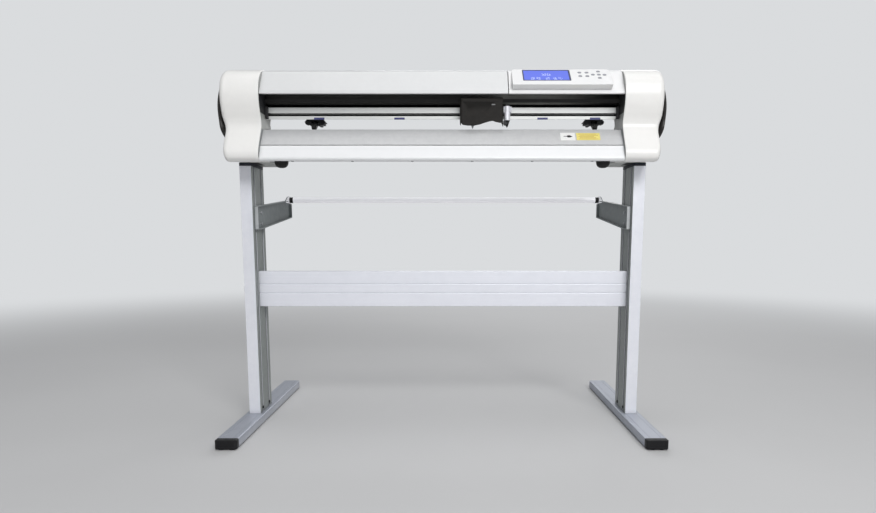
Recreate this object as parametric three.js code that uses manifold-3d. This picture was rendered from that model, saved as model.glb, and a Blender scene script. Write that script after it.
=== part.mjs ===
// Vinyl cutter on its floor stand. Millimetres, X across the machine, +Z up, operator at -Y.
// Parts are laid out from the front face of the uprights (Y = 0). The machine group is then
// moved so that the origin is on the floor under the middle of the feet. Left is -X.
import * as THREE from "three";
import { mergeVertices } from "three/addons/utils/BufferGeometryUtils.js";
import Module from "manifold-3d";

const wasm = await Module();
wasm.setup();

// ---------------------------------------------------------------- shared dimensions
const FOOT = { width: 52.4, z0: 2.5, z1: 24.5, front: -217, back: 377 };
const ORIGIN_Y = (FOOT.front + FOOT.back) / 2;
const UPRIGHT = { x: 505, width: 29.7, depth: 100.2, top: 676 };
const UPRIGHT_INNER = UPRIGHT.x - UPRIGHT.width / 2; // |X| of the inner faces
const SEAT_Z = 684.3; // underside of the casing where it rests on the stand
const CASING_BOTTOM = 676;
const CASING_TOP = 905;

const BAR = { y: 355, z: 611, radius: 8.5, end: 476, journalR: 5 }; // end: |X| of full diameter

const CAP_IN = 440; // |X| where the end covers start
const CAP_OUT = 536;
const DOME_OUT = 554;
const FRAME = { x0: 440.4, x1: 445.4 }; // |X| of the side frame plates
const BEAM_X = CAP_IN; // half length of the parts between the side frames

const RAIL_Y = -20; // front face of the guide rail
const SHAFT = { y: -10, z: 748.3, radius: 5 };
const GRIT = { radius: 10, xs: [-314, -107, 75, 251, 383] };
const PLATEN_Z = 758;

const TOOTH_MODULE = 1.5;
const GEAR_TEETH = 36;
const PINION_TEETH = 12;
const PINION_ANGLE = -50 * Math.PI / 180; // direction from the shaft to the feed motor
const GEAR_SPACING = TOOTH_MODULE * (GEAR_TEETH + PINION_TEETH) / 2;
const PINION_Y = SHAFT.y + GEAR_SPACING * Math.cos(PINION_ANGLE);
const PINION_Z = SHAFT.z + GEAR_SPACING * Math.sin(PINION_ANGLE);

const PULLEY = { x: 475, y: -12, radius: 15.3, driveShaftR: 2.5, idlerPinR: 3, play: 0.3 };
const BELT = { thickness: 1.5, z0: 826, z1: 834 };

const FINISH = { // [color, roughness, metalness]
  foot: [0x8c93a0, 0.4, 0.7],
  footCap: [0x1c1c1e, 0.55, 0],
  upright: [0xd8dae4, 0.35, 0.8],
  mountPlate: [0x1d1e20, 0.5, 0.3],
  mediaArm: [0x6e7373, 0.45, 0.6],
  bush: [0x151515, 0.6, 0],
  crossBeam: [0xe5e8f1, 0.35, 0.7],
  mediaBar: [0xf3f2f6, 0.3, 0.8],
  sideFrame: [0xc9cac8, 0.45, 0.5],
  endCap: [0xf8f7f4, 0.35, 0],
  sideInsert: [0x242220, 0.4, 0],
  benchFoot: [0x0e0e0e, 0.8, 0],
  topCover: [0xe2e3e2, 0.35, 0.2],
  key: [0xa9abb0, 0.5, 0],
  housing: [0xeeefee, 0.35, 0],
  display: [0x6e7de6, 0.15, 0],
  board: [0x1f5a3a, 0.6, 0],
  powerSwitch: [0x141414, 0.5, 0],
  railBeam: [0xd0d2ce, 0.4, 0.7],
  guideRail: [0xb6b9b5, 0.3, 0.9],
  beltGuard: [0x232321, 0.6, 0.1],
  platen: [0xc9cbca, 0.35, 0.3],
  cuttingStrip: [0xf0f0ec, 0.7, 0],
  apron: [0xf4f5f5, 0.35, 0.1],
  gritShaft: [0x9a9c9e, 0.5, 0.9],
  gear: [0xe9e6da, 0.5, 0],
  pinion: [0xc9a24a, 0.35, 1],
  motor: [0x2b2b2d, 0.5, 0.4],
  belt: [0x111111, 0.8, 0],
  pulley: [0xc8c8c8, 0.35, 0.9],
  carriagePlate: [0x8f9294, 0.4, 0.8],
  carriageCover: [0x211f1d, 0.45, 0],
  toolSlide: [0xb9bcc0, 0.35, 0.8],
  bladeHolder: [0xc6c8cc, 0.25, 0.9],
  pinchBracket: [0x161618, 0.5, 0.1],
  pinchArm: [0x1a1a1c, 0.5, 0.1],
  pinchWheel: [0x101010, 0.85, 0],
};

// ---------------------------------------------------------------- solids
const X_AXIS = new THREE.Vector3(1, 0, 0);
const Y_AXIS = new THREE.Vector3(0, 1, 0);
const Z_AXIS = new THREE.Vector3(0, 0, 1);

function solid(geometry) {
  const bare = geometry.clone();
  bare.deleteAttribute("normal");
  bare.deleteAttribute("uv");
  const merged = mergeVertices(bare, 1e-4);
  return new wasm.Manifold(new wasm.Mesh({
    numProp: 3,
    vertProperties: new Float32Array(merged.attributes.position.array),
    triVerts: new Uint32Array(merged.index.array),
  }));
}
const add = (...bodies) => bodies.reduce((sum, body) => sum.add(body));
const cut = (body, ...tools) => tools.reduce((rest, tool) => rest.subtract(tool), body);
const common = (...bodies) => bodies.reduce((rest, body) => rest.intersect(body));

const vectors = (points) => points.map(([a, b]) => new THREE.Vector2(a, b));

function extrude(outline, depth, placement, holes = []) {
  const points = vectors(outline);
  if (THREE.ShapeUtils.area(points) < 0) points.reverse();
  const shape = new THREE.Shape(points);
  shape.holes = holes.map((hole) => new THREE.Path(vectors(hole)));
  const geometry = new THREE.ExtrudeGeometry(shape, { depth, bevelEnabled: false, steps: 1 });
  return solid(geometry.applyMatrix4(placement));
}
// A [y, z] profile along X, an [x, z] profile along Y, and an [x, y] profile along Z.
function alongX(outline, x0, x1, holes) {
  const placement = new THREE.Matrix4().makeBasis(Y_AXIS, Z_AXIS, X_AXIS).setPosition(x0, 0, 0);
  return extrude(outline, x1 - x0, placement, holes);
}
function alongY(outline, y0, y1) {
  const backward = new THREE.Vector3(0, -1, 0);
  const placement = new THREE.Matrix4().makeBasis(X_AXIS, Z_AXIS, backward).setPosition(0, y1, 0);
  return extrude(outline, y1 - y0, placement);
}
const alongZ = (outline, z0, z1, holes) =>
  extrude(outline, z1 - z0, new THREE.Matrix4().setPosition(0, 0, z0), holes);

function box(x0, x1, y0, y1, z0, z1) {
  const geometry = new THREE.BoxGeometry(x1 - x0, y1 - y0, z1 - z0);
  return solid(geometry.translate((x0 + x1) / 2, (y0 + y1) / 2, (z0 + z1) / 2));
}
function roundX(radius, x0, x1, y, z, segments) {
  const geometry = new THREE.CylinderGeometry(radius, radius, x1 - x0, segments);
  return solid(geometry.rotateZ(-Math.PI / 2).translate((x0 + x1) / 2, y, z));
}
function roundZ(radius, z0, z1, x, y, segments) {
  const geometry = new THREE.CylinderGeometry(radius, radius, z1 - z0, segments);
  return solid(geometry.rotateX(Math.PI / 2).translate(x, y, (z0 + z1) / 2));
}
// A body turned about a vertical axis from an [r, z] profile.
function turnedZ(profile, x, y, segments) {
  const geometry = new THREE.LatheGeometry(vectors(profile), segments);
  return solid(geometry.rotateX(Math.PI / 2).translate(x, y, 0));
}
// Sections of equal point count stacked along X; each is { x, points: [[y, z], ...] }.
function loftX(sections) {
  const count = sections[0].points.length;
  const positions = sections.flatMap(({ x, points }) => points.flatMap(([y, z]) => [x, y, z]));
  const triangles = [];
  for (let k = 0; k + 1 < sections.length; k++) {
    for (let i = 0; i < count; i++) {
      const a = k * count + i;
      const b = k * count + (i + 1) % count;
      triangles.push([a, b, b + count], [a, b + count, a + count]);
    }
  }
  const last = (sections.length - 1) * count;
  for (const [a, b, c] of THREE.ShapeUtils.triangulateShape(vectors(sections[0].points), [])) {
    triangles.push([a, c, b], [last + a, last + b, last + c]);
  }
  const build = (faces) => {
    const geometry = new THREE.BufferGeometry();
    geometry.setAttribute("position", new THREE.Float32BufferAttribute(positions, 3));
    return solid(geometry.setIndex(faces.flat()));
  };
  const body = build(triangles);
  // Sections stacked towards -X come out inside out.
  return body.volume() > 0 ? body : build(triangles.map(([a, b, c]) => [a, c, b]));
}

// ---------------------------------------------------------------- outlines
// A polyline moved sideways by distance (positive to the right of its direction).
function offsetPath(points, distance, closed = false) {
  const count = points.length;
  const normal = ([x0, y0], [x1, y1]) => {
    const length = Math.hypot(x1 - x0, y1 - y0);
    return length ? [(y1 - y0) / length, (x0 - x1) / length] : null;
  };
  return points.map((point, i) => {
    const previous = points[closed ? (i + count - 1) % count : Math.max(i - 1, 0)];
    const following = points[closed ? (i + 1) % count : Math.min(i + 1, count - 1)];
    const before = normal(previous, point) ?? normal(point, following);
    const after = normal(point, following) ?? before;
    const miter = [before[0] + after[0], before[1] + after[1]];
    const scale = 2 / (miter[0] ** 2 + miter[1] ** 2) * distance;
    return [point[0] + miter[0] * scale, point[1] + miter[1] * scale];
  });
}
const ribbon = (path, thickness) => [...path, ...offsetPath(path, thickness).reverse()];

// Corners [a, b, radius] turned into a polyline with arcs; an open path has plain ends.
function filleted(corners, steps) {
  const count = corners.length;
  return corners.flatMap(([x, y, radius = 0], i) => {
    if (!radius) return [[x, y]];
    const corner = new THREE.Vector2(x, y);
    const toward = ([a, b]) => new THREE.Vector2(a, b).sub(corner).normalize();
    const back = toward(corners[(i + count - 1) % count]);
    const ahead = toward(corners[(i + 1) % count]);
    const half = Math.acos(THREE.MathUtils.clamp(back.dot(ahead), -1, 1)) / 2;
    const centre = back.clone().add(ahead).setLength(radius / Math.sin(half)).add(corner);
    const tangentAngle = (direction) => {
      const point = direction.clone().multiplyScalar(radius / Math.tan(half)).add(corner);
      return Math.atan2(point.y - centre.y, point.x - centre.x);
    };
    const start = tangentAngle(back);
    let sweep = tangentAngle(ahead) - start;
    sweep -= 2 * Math.PI * Math.round(sweep / (2 * Math.PI)); // the short way round
    return Array.from({ length: steps + 1 }, (_, k) => {
      const angle = start + sweep * k / steps;
      return [centre.x + radius * Math.cos(angle), centre.y + radius * Math.sin(angle)];
    });
  });
}
const rect = (a0, a1, b0, b1, radius = 0, steps = 1) =>
  filleted([[a0, b0, radius], [a1, b0, radius], [a1, b1, radius], [a0, b1, radius]], steps);
const motorOutline = (a, b) => rect(a - 21, a + 21, b - 21, b + 21, 4, 2);
const spline = (points) =>
  new THREE.SplineCurve(vectors(points)).getPoints(24).map(({ x, y }) => [x, y]);

// ---------------------------------------------------------------- assembly
const machine = new THREE.Group();
machine.position.set(0, -ORIGIN_Y, 0);

function part(name, [color, roughness, metalness], body) {
  const { vertProperties, triVerts } = body.getMesh();
  const geometry = new THREE.BufferGeometry();
  geometry.setAttribute("position", new THREE.BufferAttribute(new Float32Array(vertProperties), 3));
  geometry.setIndex(new THREE.BufferAttribute(new Uint32Array(triVerts), 1));
  geometry.computeVertexNormals();
  const material = new THREE.MeshStandardMaterial({
    color, roughness, metalness, flatShading: true,
  });
  const mesh = new THREE.Mesh(geometry, material);
  mesh.name = name;
  machine.add(mesh);
}
const SIDES = [["left", -1], ["right", 1]];
const span = (sign, a, b) => (sign < 0 ? [-b, -a] : [a, b]); // |X| range on one side

// ---------------------------------------------------------------- stand
const FOOT_CAP_DEPTH = 16;
const FOOT_CAP_GAP = 0.3;
const ARM_WEB = 3; // sheet thickness
const ARM_FLANGE = 10;

const footSection = (x, inset, radius) => rect(
  x - FOOT.width / 2 + inset, x + FOOT.width / 2 - inset,
  FOOT.z0 + inset, FOOT.z1 - inset, radius, 3);

function foot(side, sign) {
  const x = sign * UPRIGHT.x;
  const half = FOOT.width / 2;
  const { front, back } = FOOT;
  const tubeFront = front + FOOT_CAP_DEPTH;
  const tube = alongY(footSection(x, 0, 3), tubeFront, back);
  const plan = alongZ(filleted([
    [x - half - 1, front], [x + half + 1, front], [x + half, back, 9], [x - half, back, 9],
  ], 4), 0, 30);
  const glide = roundZ(11, 0, FOOT.z0 + 1, x, back - 26, 20);
  const hollow = alongY(footSection(x, 3, 1.5), tubeFront - 1, back - 12);
  part("foot_" + side, FINISH.foot, cut(add(common(tube, plan), glide), hollow));
}

function footCap(side, sign) {
  const x = sign * UPRIGHT.x;
  const half = FOOT.width / 2;
  const { front } = FOOT;
  const back = front + FOOT_CAP_DEPTH - FOOT_CAP_GAP;
  const plan = alongZ(filleted([
    [x - half, front, 6], [x + half, front, 6], [x + half, back], [x - half, back],
  ], 4), 0, 30);
  const cap = common(alongY(footSection(x, 0, 3.5), front, back), plan);
  const plug = alongY(footSection(x, 3.4, 1.5), front + 8, front + FOOT_CAP_DEPTH + 14);
  const pads = [-12, 12].map((dx) => roundZ(7, 0, FOOT.z0 + 1, x + dx, front + 8.4, 16));
  part("foot_cap_" + side, FINISH.footCap, add(cap, plug, ...pads));
}

// Hollow extrusion with two grooves in the inner face and two in the outer face.
function upright(side, sign) {
  const x0 = sign * UPRIGHT.x - UPRIGHT.width / 2;
  const x1 = x0 + UPRIGHT.width;
  const grooveDepth = 3.2;
  const wall = 6;
  const grooves = (face, floor) => [[16, 28], [72, 84]].flatMap(
    ([y0, y1]) => [[face, y0], [floor, y0], [floor, y1], [face, y1]]);
  const outline = [
    [x0, 0], [x1, 0], ...grooves(x1, x1 - grooveDepth),
    [x1, UPRIGHT.depth], [x0, UPRIGHT.depth], ...grooves(x0, x0 + grooveDepth).reverse(),
  ];
  const core = rect(x0 + wall, x1 - wall, wall, UPRIGHT.depth - wall);
  part("upright_" + side, FINISH.upright, alongZ(outline, FOOT.z1, UPRIGHT.top, [core]));
}

function mountPlate(side, sign) {
  const x = sign * UPRIGHT.x;
  const outline = rect(x - 15.6, x + 15.6, -1, 101, 3, 3);
  part("mount_plate_" + side, FINISH.mountPlate, alongZ(outline, UPRIGHT.top, SEAT_Z));
}

// [y, z, radius] outlines of the channel's web and of the ear round the bar.
const ARM_OUTLINE = [
  [14, 515], [40, 515.8], [351, 556.3, 5], [351, 600], [312, 606.5], [285, 604.5], [14, 575],
];
const EAR_OUTLINE = [
  [308, 600], [308, 606], [330, 618.5, 16], [342, 621.5, 10], [373, 621.5, 10], [373, 600, 5],
  [351, 594],
];
// [y, z] paths of the lower and upper flanges.
const ARM_LOW = [[14, 515], [40, 515.8], [349, 556]];
const ARM_HIGH = [[312, 606.5], [285, 604.5], [14, 575]];

// Media arm: a channel that rises to the rear, with an eye for the bar.
function mediaArm(side, sign) {
  const webSpan = span(sign, UPRIGHT_INNER - ARM_WEB, UPRIGHT_INNER);
  const flangeSpan = span(sign, UPRIGHT_INNER - ARM_FLANGE, UPRIGHT_INNER);
  const arm = add(
    alongX(filleted(ARM_OUTLINE, 4), ...webSpan),
    alongX(filleted(EAR_OUTLINE, 5), ...webSpan),
    alongX(ribbon(ARM_LOW, -ARM_WEB), ...flangeSpan),
    alongX(ribbon(ARM_HIGH, -ARM_WEB), ...flangeSpan),
    box(...flangeSpan, 348, 351, 557.5, 598),
    box(...flangeSpan, 14, 17, 515.5, 574.5));
  const eye = roundX(8.3, ...span(sign, UPRIGHT_INNER - 8, UPRIGHT_INNER + 4), BAR.y, BAR.z, 16);
  part("media_arm_" + side, FINISH.mediaArm, cut(arm, eye));
}

function barBush(side, sign) {
  const tube = (radius, x0, x1) => roundX(radius, ...span(sign, x0, x1), BAR.y, BAR.z, 16);
  const flange = tube(8.9, BAR.end + 0.6, UPRIGHT_INNER - ARM_WEB - 0.2);
  const sleeve = tube(8, UPRIGHT_INNER - ARM_WEB - 1, UPRIGHT_INNER + 0.6);
  const bore = tube(BAR.journalR + 0.35, BAR.end - 4, UPRIGHT_INNER + 6);
  part("bar_bush_" + side, FINISH.bush, cut(add(flange, sleeve), bore));
}

// Flat hollow extrusion between the uprights, with two shallow grooves in its front face.
function crossBeam() {
  const [y0, y1, z0, z1] = [30, 54, 311, 405];
  const grooves = [346, 370].flatMap(
    (z) => [[y0, z], [y0 + 1.4, z + 0.6], [y0 + 1.4, z + 2.2], [y0, z + 2.8]]);
  const outline = [[y0, z0], ...grooves, [y0, z1], [y1, z1], [y1, z0]];
  const core = rect(y0 + 4, y1 - 3, z0 + 3, z1 - 3);
  part("cross_beam", FINISH.crossBeam, alongX(outline, -UPRIGHT_INNER, UPRIGHT_INNER, [core]));
}

function mediaBar() {
  const rod = (radius, x0, x1) => roundX(radius, x0, x1, BAR.y, BAR.z, 16);
  const knobX = UPRIGHT_INNER + 9;
  const knobs = SIDES.map(([, sign]) => {
    const cap = new THREE.SphereGeometry(9.6, 16, 6).scale(0.4, 1, 1);
    return add(
      rod(10, ...span(sign, UPRIGHT_INNER + 1.5, knobX)),
      solid(cap.translate(sign * knobX, BAR.y, BAR.z)));
  });
  const journal = rod(BAR.journalR, -UPRIGHT_INNER - 3, UPRIGHT_INNER + 3);
  part("media_bar", FINISH.mediaBar, add(rod(BAR.radius, -BAR.end, BAR.end), journal, ...knobs));
}

for (const side of SIDES) {
  for (const build of [foot, footCap, upright, mountPlate, mediaArm, barBush]) build(...side);
}
crossBeam();
mediaBar();

// ---------------------------------------------------------------- head ends
// Side profile of the end covers, [y, z]: an upper and a lower lobe with a neck between.
// It runs down the front, back along the underside and up the rear.
const CAP_LOOP = [
  ...spline([
    [-22, CASING_TOP], [-50, 894], [-71, 872], [-79, 845], [-77.5, 818], [-71, 797], [-64, 779],
    [-63, 763], [-74, 742], [-89, 716], [-97, 698], [-94.5, 684], [-83, CASING_BOTTOM],
  ]),
  [-70, CASING_BOTTOM + 0.8], [-48, 681.5], [-3, SEAT_Z],
  ...spline([
    [105, SEAT_Z], [119, 691], [125, 706], [120, 728], [98, 744], [58, 754], [30, 762], [17, 779],
    [28, 797], [58, 809], [92, 816], [116, 832], [125, 860], [116, 890], [92, CASING_TOP],
  ]),
];
const CAP_TAPER = 0.1; // how much narrower the lower lobe is
const CAP_CENTRE = [26, 812]; // the covers round off towards this [y, z]
const FLANGE = { y0: 2, y1: 98, thickness: 6 }; // foot of the side frame

const shrink = (points, scale) =>
  points.map((point) => point.map((value, i) => CAP_CENTRE[i] + (value - CAP_CENTRE[i]) * scale));
const insetLoop = (distance) => offsetPath(CAP_LOOP, -distance, true);

// Straight from |X| = x0 to xFull, then rounded off to x1, where it is smaller by shrinkage.
function capBody(loop, sign, { x0, xFull, x1, shrinkage, steps }) {
  const sections = [{ x: sign * x0, points: loop }];
  for (let k = 0; k <= steps; k++) {
    const angle = k / steps * Math.PI / 2;
    sections.push({
      x: sign * (xFull + (x1 - xFull) * Math.sin(angle)),
      points: shrink(loop, 1 - shrinkage * (1 - Math.cos(angle))),
    });
  }
  return loftX(sections).refineToLength(24).warp((vertex) => {
    const lower = THREE.MathUtils.smoothstep(792 - vertex[2], 0, 46);
    vertex[0] = sign * (CAP_IN + (sign * vertex[0] - CAP_IN) * (1 - CAP_TAPER * lower));
  });
}

// Plate with a foot that sits on the stand and openings for the belt and the shaft.
function sideFrame(side, sign) {
  const openingSpan = span(sign, 430, 448);
  let frame = add(
    alongX(insetLoop(3.6), ...span(sign, FRAME.x0, FRAME.x1)),
    box(...span(sign, FRAME.x0, 512), FLANGE.y0, FLANGE.y1, SEAT_Z, SEAT_Z + FLANGE.thickness));
  frame = cut(frame,
    box(...openingSpan, PULLEY.y - 21, PULLEY.y + 21, 821, 837.5),
    roundX(SHAFT.radius + 0.4, ...openingSpan, SHAFT.y, SHAFT.z, 12));
  if (side === "left") {
    // Hole for the motor pinion's shaft, and a bracket with the idler pulley's pin.
    frame = add(
      cut(frame, roundX(5, ...openingSpan, PINION_Y, PINION_Z, 24)),
      box(-500, -FRAME.x1 + 1, PULLEY.y - 15, PULLEY.y + 15, 839, 842),
      roundZ(PULLEY.idlerPinR, 824, 840, -PULLEY.x, PULLEY.y, 16));
  }
  part("side_frame_" + side, FINISH.sideFrame, frame);
}

// Hollow cover, with a well for the frame's foot and a shallow rebate outside the well.
function endCap(side, sign, outer) {
  const { y0, y1, thickness } = FLANGE;
  const cavity = capBody(insetLoop(3.2), sign, {
    x0: CAP_IN - 1, xFull: 520, x1: CAP_OUT - 4, shrinkage: 0.12, steps: 1,
  });
  const floor = SEAT_Z - 3;
  const well = box(...span(sign, CAP_IN - 2, 513.5), y0 - 2, y1 + 2, floor, SEAT_Z + thickness + 1);
  const rebate = box(...span(sign, 513, 521.6), y0 - 4, y1 + 4, floor, SEAT_Z + 0.4);
  part("end_cap_" + side, FINISH.endCap, cut(outer, cavity, well, rebate));
}

// Dark domed insert on the outer face: it follows the cover's outline, bounded by an ellipse.
function sideInsert(side, sign, outer) {
  const ball = new THREE.SphereGeometry(1, 28, 18).rotateZ(Math.PI / 2);
  const dome = solid(ball.scale(DOME_OUT - 500, 126, 116).translate(sign * 500, 5, 798));
  const plate = alongX(shrink(CAP_LOOP, 0.84), ...span(sign, 520, DOME_OUT + 5));
  const ellipse = Array.from({ length: 40 }, (_, i) => {
    const angle = i * Math.PI / 20;
    return [26 + 112 * Math.cos(angle), 820 + 84 * Math.sin(angle)];
  });
  const lobe = alongX(ellipse, ...span(sign, 520, DOME_OUT + 6));
  const gap = outer.translate([sign * 0.35, 0, 0]);
  part("side_insert_" + side, FINISH.sideInsert, cut(common(dome, plate, lobe), outer, gap));
}

const BENCH_FOOT_PROFILE = [ // [r, z]
  [0, 666], [6, 666.3], [11, 668.3], [15, 672.5], [16.8, 678], [16.8, 683.7], [0, 683.7],
];

for (const [side, sign] of SIDES) {
  const outer = capBody(CAP_LOOP, sign, {
    x0: CAP_IN + 0.4, xFull: 522, x1: CAP_OUT, shrinkage: 0.1, steps: 4,
  });
  sideFrame(side, sign);
  endCap(side, sign, outer);
  sideInsert(side, sign, outer);
  part("bench_foot_" + side, FINISH.benchFoot, turnedZ(BENCH_FOOT_PROFILE, sign * 400, -40, 24));
}

// ---------------------------------------------------------------- top cover and controls
// Cover section: lip, crease, sloping face, flat top, rounded rear and rear wall.
const COVER_SECTION = ribbon([
  [-66, 837.4], [-73, 837.4],
  ...filleted([
    [-70, 846], [-40.5, 897, 12], [-18, CASING_TOP, 20], [122, CASING_TOP, 26], [122, 821],
  ], 5),
], 2.6);
const POD = { x0: 169.5, x1: 408 }; // raised part of the control housing
const FACE = { y0: -84, z0: 856.2, y1: -34.8, z1: 903.4 }; // control face, lower and upper edge
const FACE_LENGTH = Math.hypot(FACE.y1 - FACE.y0, FACE.z1 - FACE.z0);
const FACE_UP = [(FACE.y1 - FACE.y0) / FACE_LENGTH, (FACE.z1 - FACE.z0) / FACE_LENGTH];
const FACE_NORMAL = [-FACE_UP[1], FACE_UP[0]];
const DISPLAY = { x0: 195, x1: 311, along0: 16, along1: 66 };
const KEY = { width: 9, height: 6.4, proud: 1.1, gap: 0.35, depth: 4.6 };
const KEYS = { // [x, distance up the face]
  key_menu: [334.5, 52.5], key_test: [351.5, 52.5],
  key_offset: [334.5, 36.5], key_origin: [351.5, 36.5],
  key_arrow_left: [366, 43], key_arrow_up: [380.5, 57.5], key_enter: [380.5, 43],
  key_arrow_down: [380.5, 28.5], key_arrow_right: [394, 42.5],
};
const SWITCH = { x: 380, y: 119.5, z: 860, halfWidth: 6.8, tilt: -8 * Math.PI / 180 };

// The [y, z] of a point up the control face and out from it.
const onFace = (along, out) => [
  FACE.y0 + FACE_UP[0] * along + FACE_NORMAL[0] * out,
  FACE.z0 + FACE_UP[1] * along + FACE_NORMAL[1] * out,
];
const slab = (x0, x1, along0, along1, out0, out1) => alongX(
  [onFace(along0, out0), onFace(along1, out0), onFace(along1, out1), onFace(along0, out1)], x0, x1);

// A key-shaped prism square to the face, its outline grown all round.
function keyPrism([x, along], grow, out, depth) {
  const halfWidth = KEY.width / 2 + grow;
  const halfHeight = KEY.height / 2 + grow;
  const outline = rect(-halfWidth, halfWidth, -halfHeight, halfHeight, halfHeight * 0.95, 2);
  const up = new THREE.Vector3(0, ...FACE_UP);
  const normal = new THREE.Vector3(0, ...FACE_NORMAL);
  const placement = new THREE.Matrix4().makeBasis(X_AXIS, up, normal);
  return extrude(outline, depth, placement.setPosition(x, ...onFace(along, out)));
}

function keys() {
  const crownHeight = 0.55;
  for (const [name, place] of Object.entries(KEYS)) {
    const stem = keyPrism(place, 0, -KEY.depth, KEY.depth + KEY.proud - 0.5);
    const crown = keyPrism(place, -0.5, KEY.proud - crownHeight, crownHeight);
    part(name, FINISH.key, add(stem, crown));
  }
}

// The cover's section with a raised pod that holds the display and the keys.
function controlHousing() {
  const podSide = alongX([
    [-70.4, 848.2], [FACE.y0, FACE.z0], [FACE.y1, FACE.z1], [-24, CASING_TOP - 0.4],
    [-10, CASING_TOP - 0.6], [-10, 880], [-50, 846],
  ], POD.x0, POD.x1);
  const podTop = CASING_TOP + 0.05;
  const podFront = alongY(filleted([
    [POD.x0, 838, 5], [POD.x1, 838, 5], [POD.x1, podTop, 7], [POD.x0, podTop, 7],
  ], 3), -100, 20);
  const ceiling = CASING_TOP - 3.4;
  const hollow = alongX([
    [-66, 850], onFace(6, -3), onFace(FACE_LENGTH - 3, -3), [-22, ceiling], [84, ceiling],
    [84, 850],
  ], POD.x0 + 3, POD.x1 - 3);
  const { x0, x1, along0, along1 } = DISPLAY;
  const switchReach = SWITCH.halfWidth + 0.6;
  const housing = cut(
    add(alongX(COVER_SECTION, 161.5, BEAM_X), common(podSide, podFront)),
    hollow,
    slab(x0 + 5, x1 - 5, along0 + 4, along1 - 4, -6, 2),
    slab(x0, x1, along0, along1, -1.9, 2),
    box(SWITCH.x - switchReach, SWITCH.x + switchReach, 112, 126, 849, 871),
    ...Object.values(KEYS).map((place) => keyPrism(place, KEY.gap, -7, 14)));
  part("control_housing", FINISH.housing, housing);
}

function displayWindow() {
  const { x0, x1, along0, along1 } = DISPLAY;
  const gap = 0.4;
  part("display_window", FINISH.display,
    slab(x0 + gap, x1 - gap, along0 + gap, along1 - gap, -1.6, -0.1));
}

// Board behind the face, on four posts, with two blocks on its rear.
function controllerBoard() {
  const posts = [[193.2, 17], [401.4, 17], [193.2, 58], [401.4, 58]].map(
    ([x, along]) => slab(x - 3, x + 3, along - 2.5, along + 2.5, -10.5, -3.6));
  part("controller_board", FINISH.board, add(
    slab(190, 404.6, 14, 61, -11.6, -10), ...posts,
    slab(210, 300, 18, 56, -14.5, -11), slab(328, 350, 24, 42, -14, -11)));
}

// Tilted rocker in the rear wall.
function powerSwitch() {
  const { x, y, z, halfWidth, tilt } = SWITCH;
  const profile = [[-6, -9.6], [2.6, -9.6], [2, 0], [2.6, 9.6], [-6, 9.6]].map(([dy, dz]) => [
    y + dy * Math.cos(tilt) - dz * Math.sin(tilt),
    z + dy * Math.sin(tilt) + dz * Math.cos(tilt),
  ]);
  part("power_switch", FINISH.powerSwitch, alongX(profile, x - halfWidth, x + halfWidth));
}

part("top_cover", FINISH.topCover, alongX(COVER_SECTION, -BEAM_X, 159.5));
keys();
controlHousing();
displayWindow();
controllerBoard();
powerSwitch();

// ---------------------------------------------------------------- beam, rail, platen
const fullWidth = (outline, holes) => alongX(outline, -BEAM_X, BEAM_X, holes);

const BEAM_SECTION = [ // [y, z]
  [RAIL_Y, 787], [-14, 788.2], [5, 792], [5, 799], [17, 799], [17, 794.4], [60, 804.5],
  [112, 817], [119, 817], [119, 824], [-12, 824], [-12, 795.2], [RAIL_Y, 795.2],
];
const BEAM_CORE = [[-4, 806], [60, 812], [100, 820.5], [-4, 820.5]];
part("rail_beam", FINISH.railBeam, fullWidth(BEAM_SECTION, [BEAM_CORE]));
part("guide_rail", FINISH.guideRail, box(-437.5, 437.5, RAIL_Y, -12, 801, 816));
part("belt_guard", FINISH.beltGuard, fullWidth(
  [[RAIL_Y, 824], [-6, 824], [-6, 826], [-18, 826], [-18, 862], [RAIL_Y, 862]]));

// Curved bed with an opening for each grit roller and a groove for the cutting strip.
function platen() {
  const path = filleted(
    [[-76, 717], [-47, PLATEN_Z, 4], [84, PLATEN_Z, 40], [121.5, 736, 16], [121.5, 722]], 6);
  const openings = GRIT.xs.map((x) => box(x - 16, x + 16, SHAFT.y - 10, SHAFT.y + 10, 745, 762));
  const groove = box(-BEAM_X - 1, BEAM_X + 1, -43.5, -36.5, PLATEN_Z - 2, PLATEN_Z + 2);
  part("platen", FINISH.platen, cut(fullWidth(ribbon(path, 4)), ...openings, groove));
}
platen();
part("cutting_strip", FINISH.cuttingStrip,
  box(-430, 430, -43.2, -36.8, PLATEN_Z - 2, PLATEN_Z + 0.4));

const APRON_PATH = [ // [y, z, radius]
  [-76.9, 715.2], [-93, 683, 6], [-86, 677, 4], [-64, 684, 8], [-16, 684.4, 20],
  [112, 703, 8], [121.5, 711, 4], [121.5, 721],
];
part("front_apron", FINISH.apron, fullWidth(ribbon(filleted(APRON_PATH, 4), -3)));

// ---------------------------------------------------------------- feed drive
const FEED_MOTOR_X = -439.6; // the feed motor's left face

function toothed(teeth, phase, y, z, x0, x1) {
  const pitchR = TOOTH_MODULE * teeth / 2;
  const tipR = pitchR + 0.75 * TOOTH_MODULE;
  const rootR = pitchR - 0.95 * TOOTH_MODULE;
  const step = 2 * Math.PI / teeth;
  const tooth = [[rootR, -0.27], [tipR, -0.09], [tipR, 0.09], [rootR, 0.27]]; // [r, pitches]
  const outline = Array.from({ length: teeth }, (_, i) => tooth.map(([radius, offset]) => {
    const angle = phase + (i + offset) * step;
    return [y + radius * Math.cos(angle), z + radius * Math.sin(angle)];
  }));
  return alongX(outline.flat(), x0, x1);
}

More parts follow.
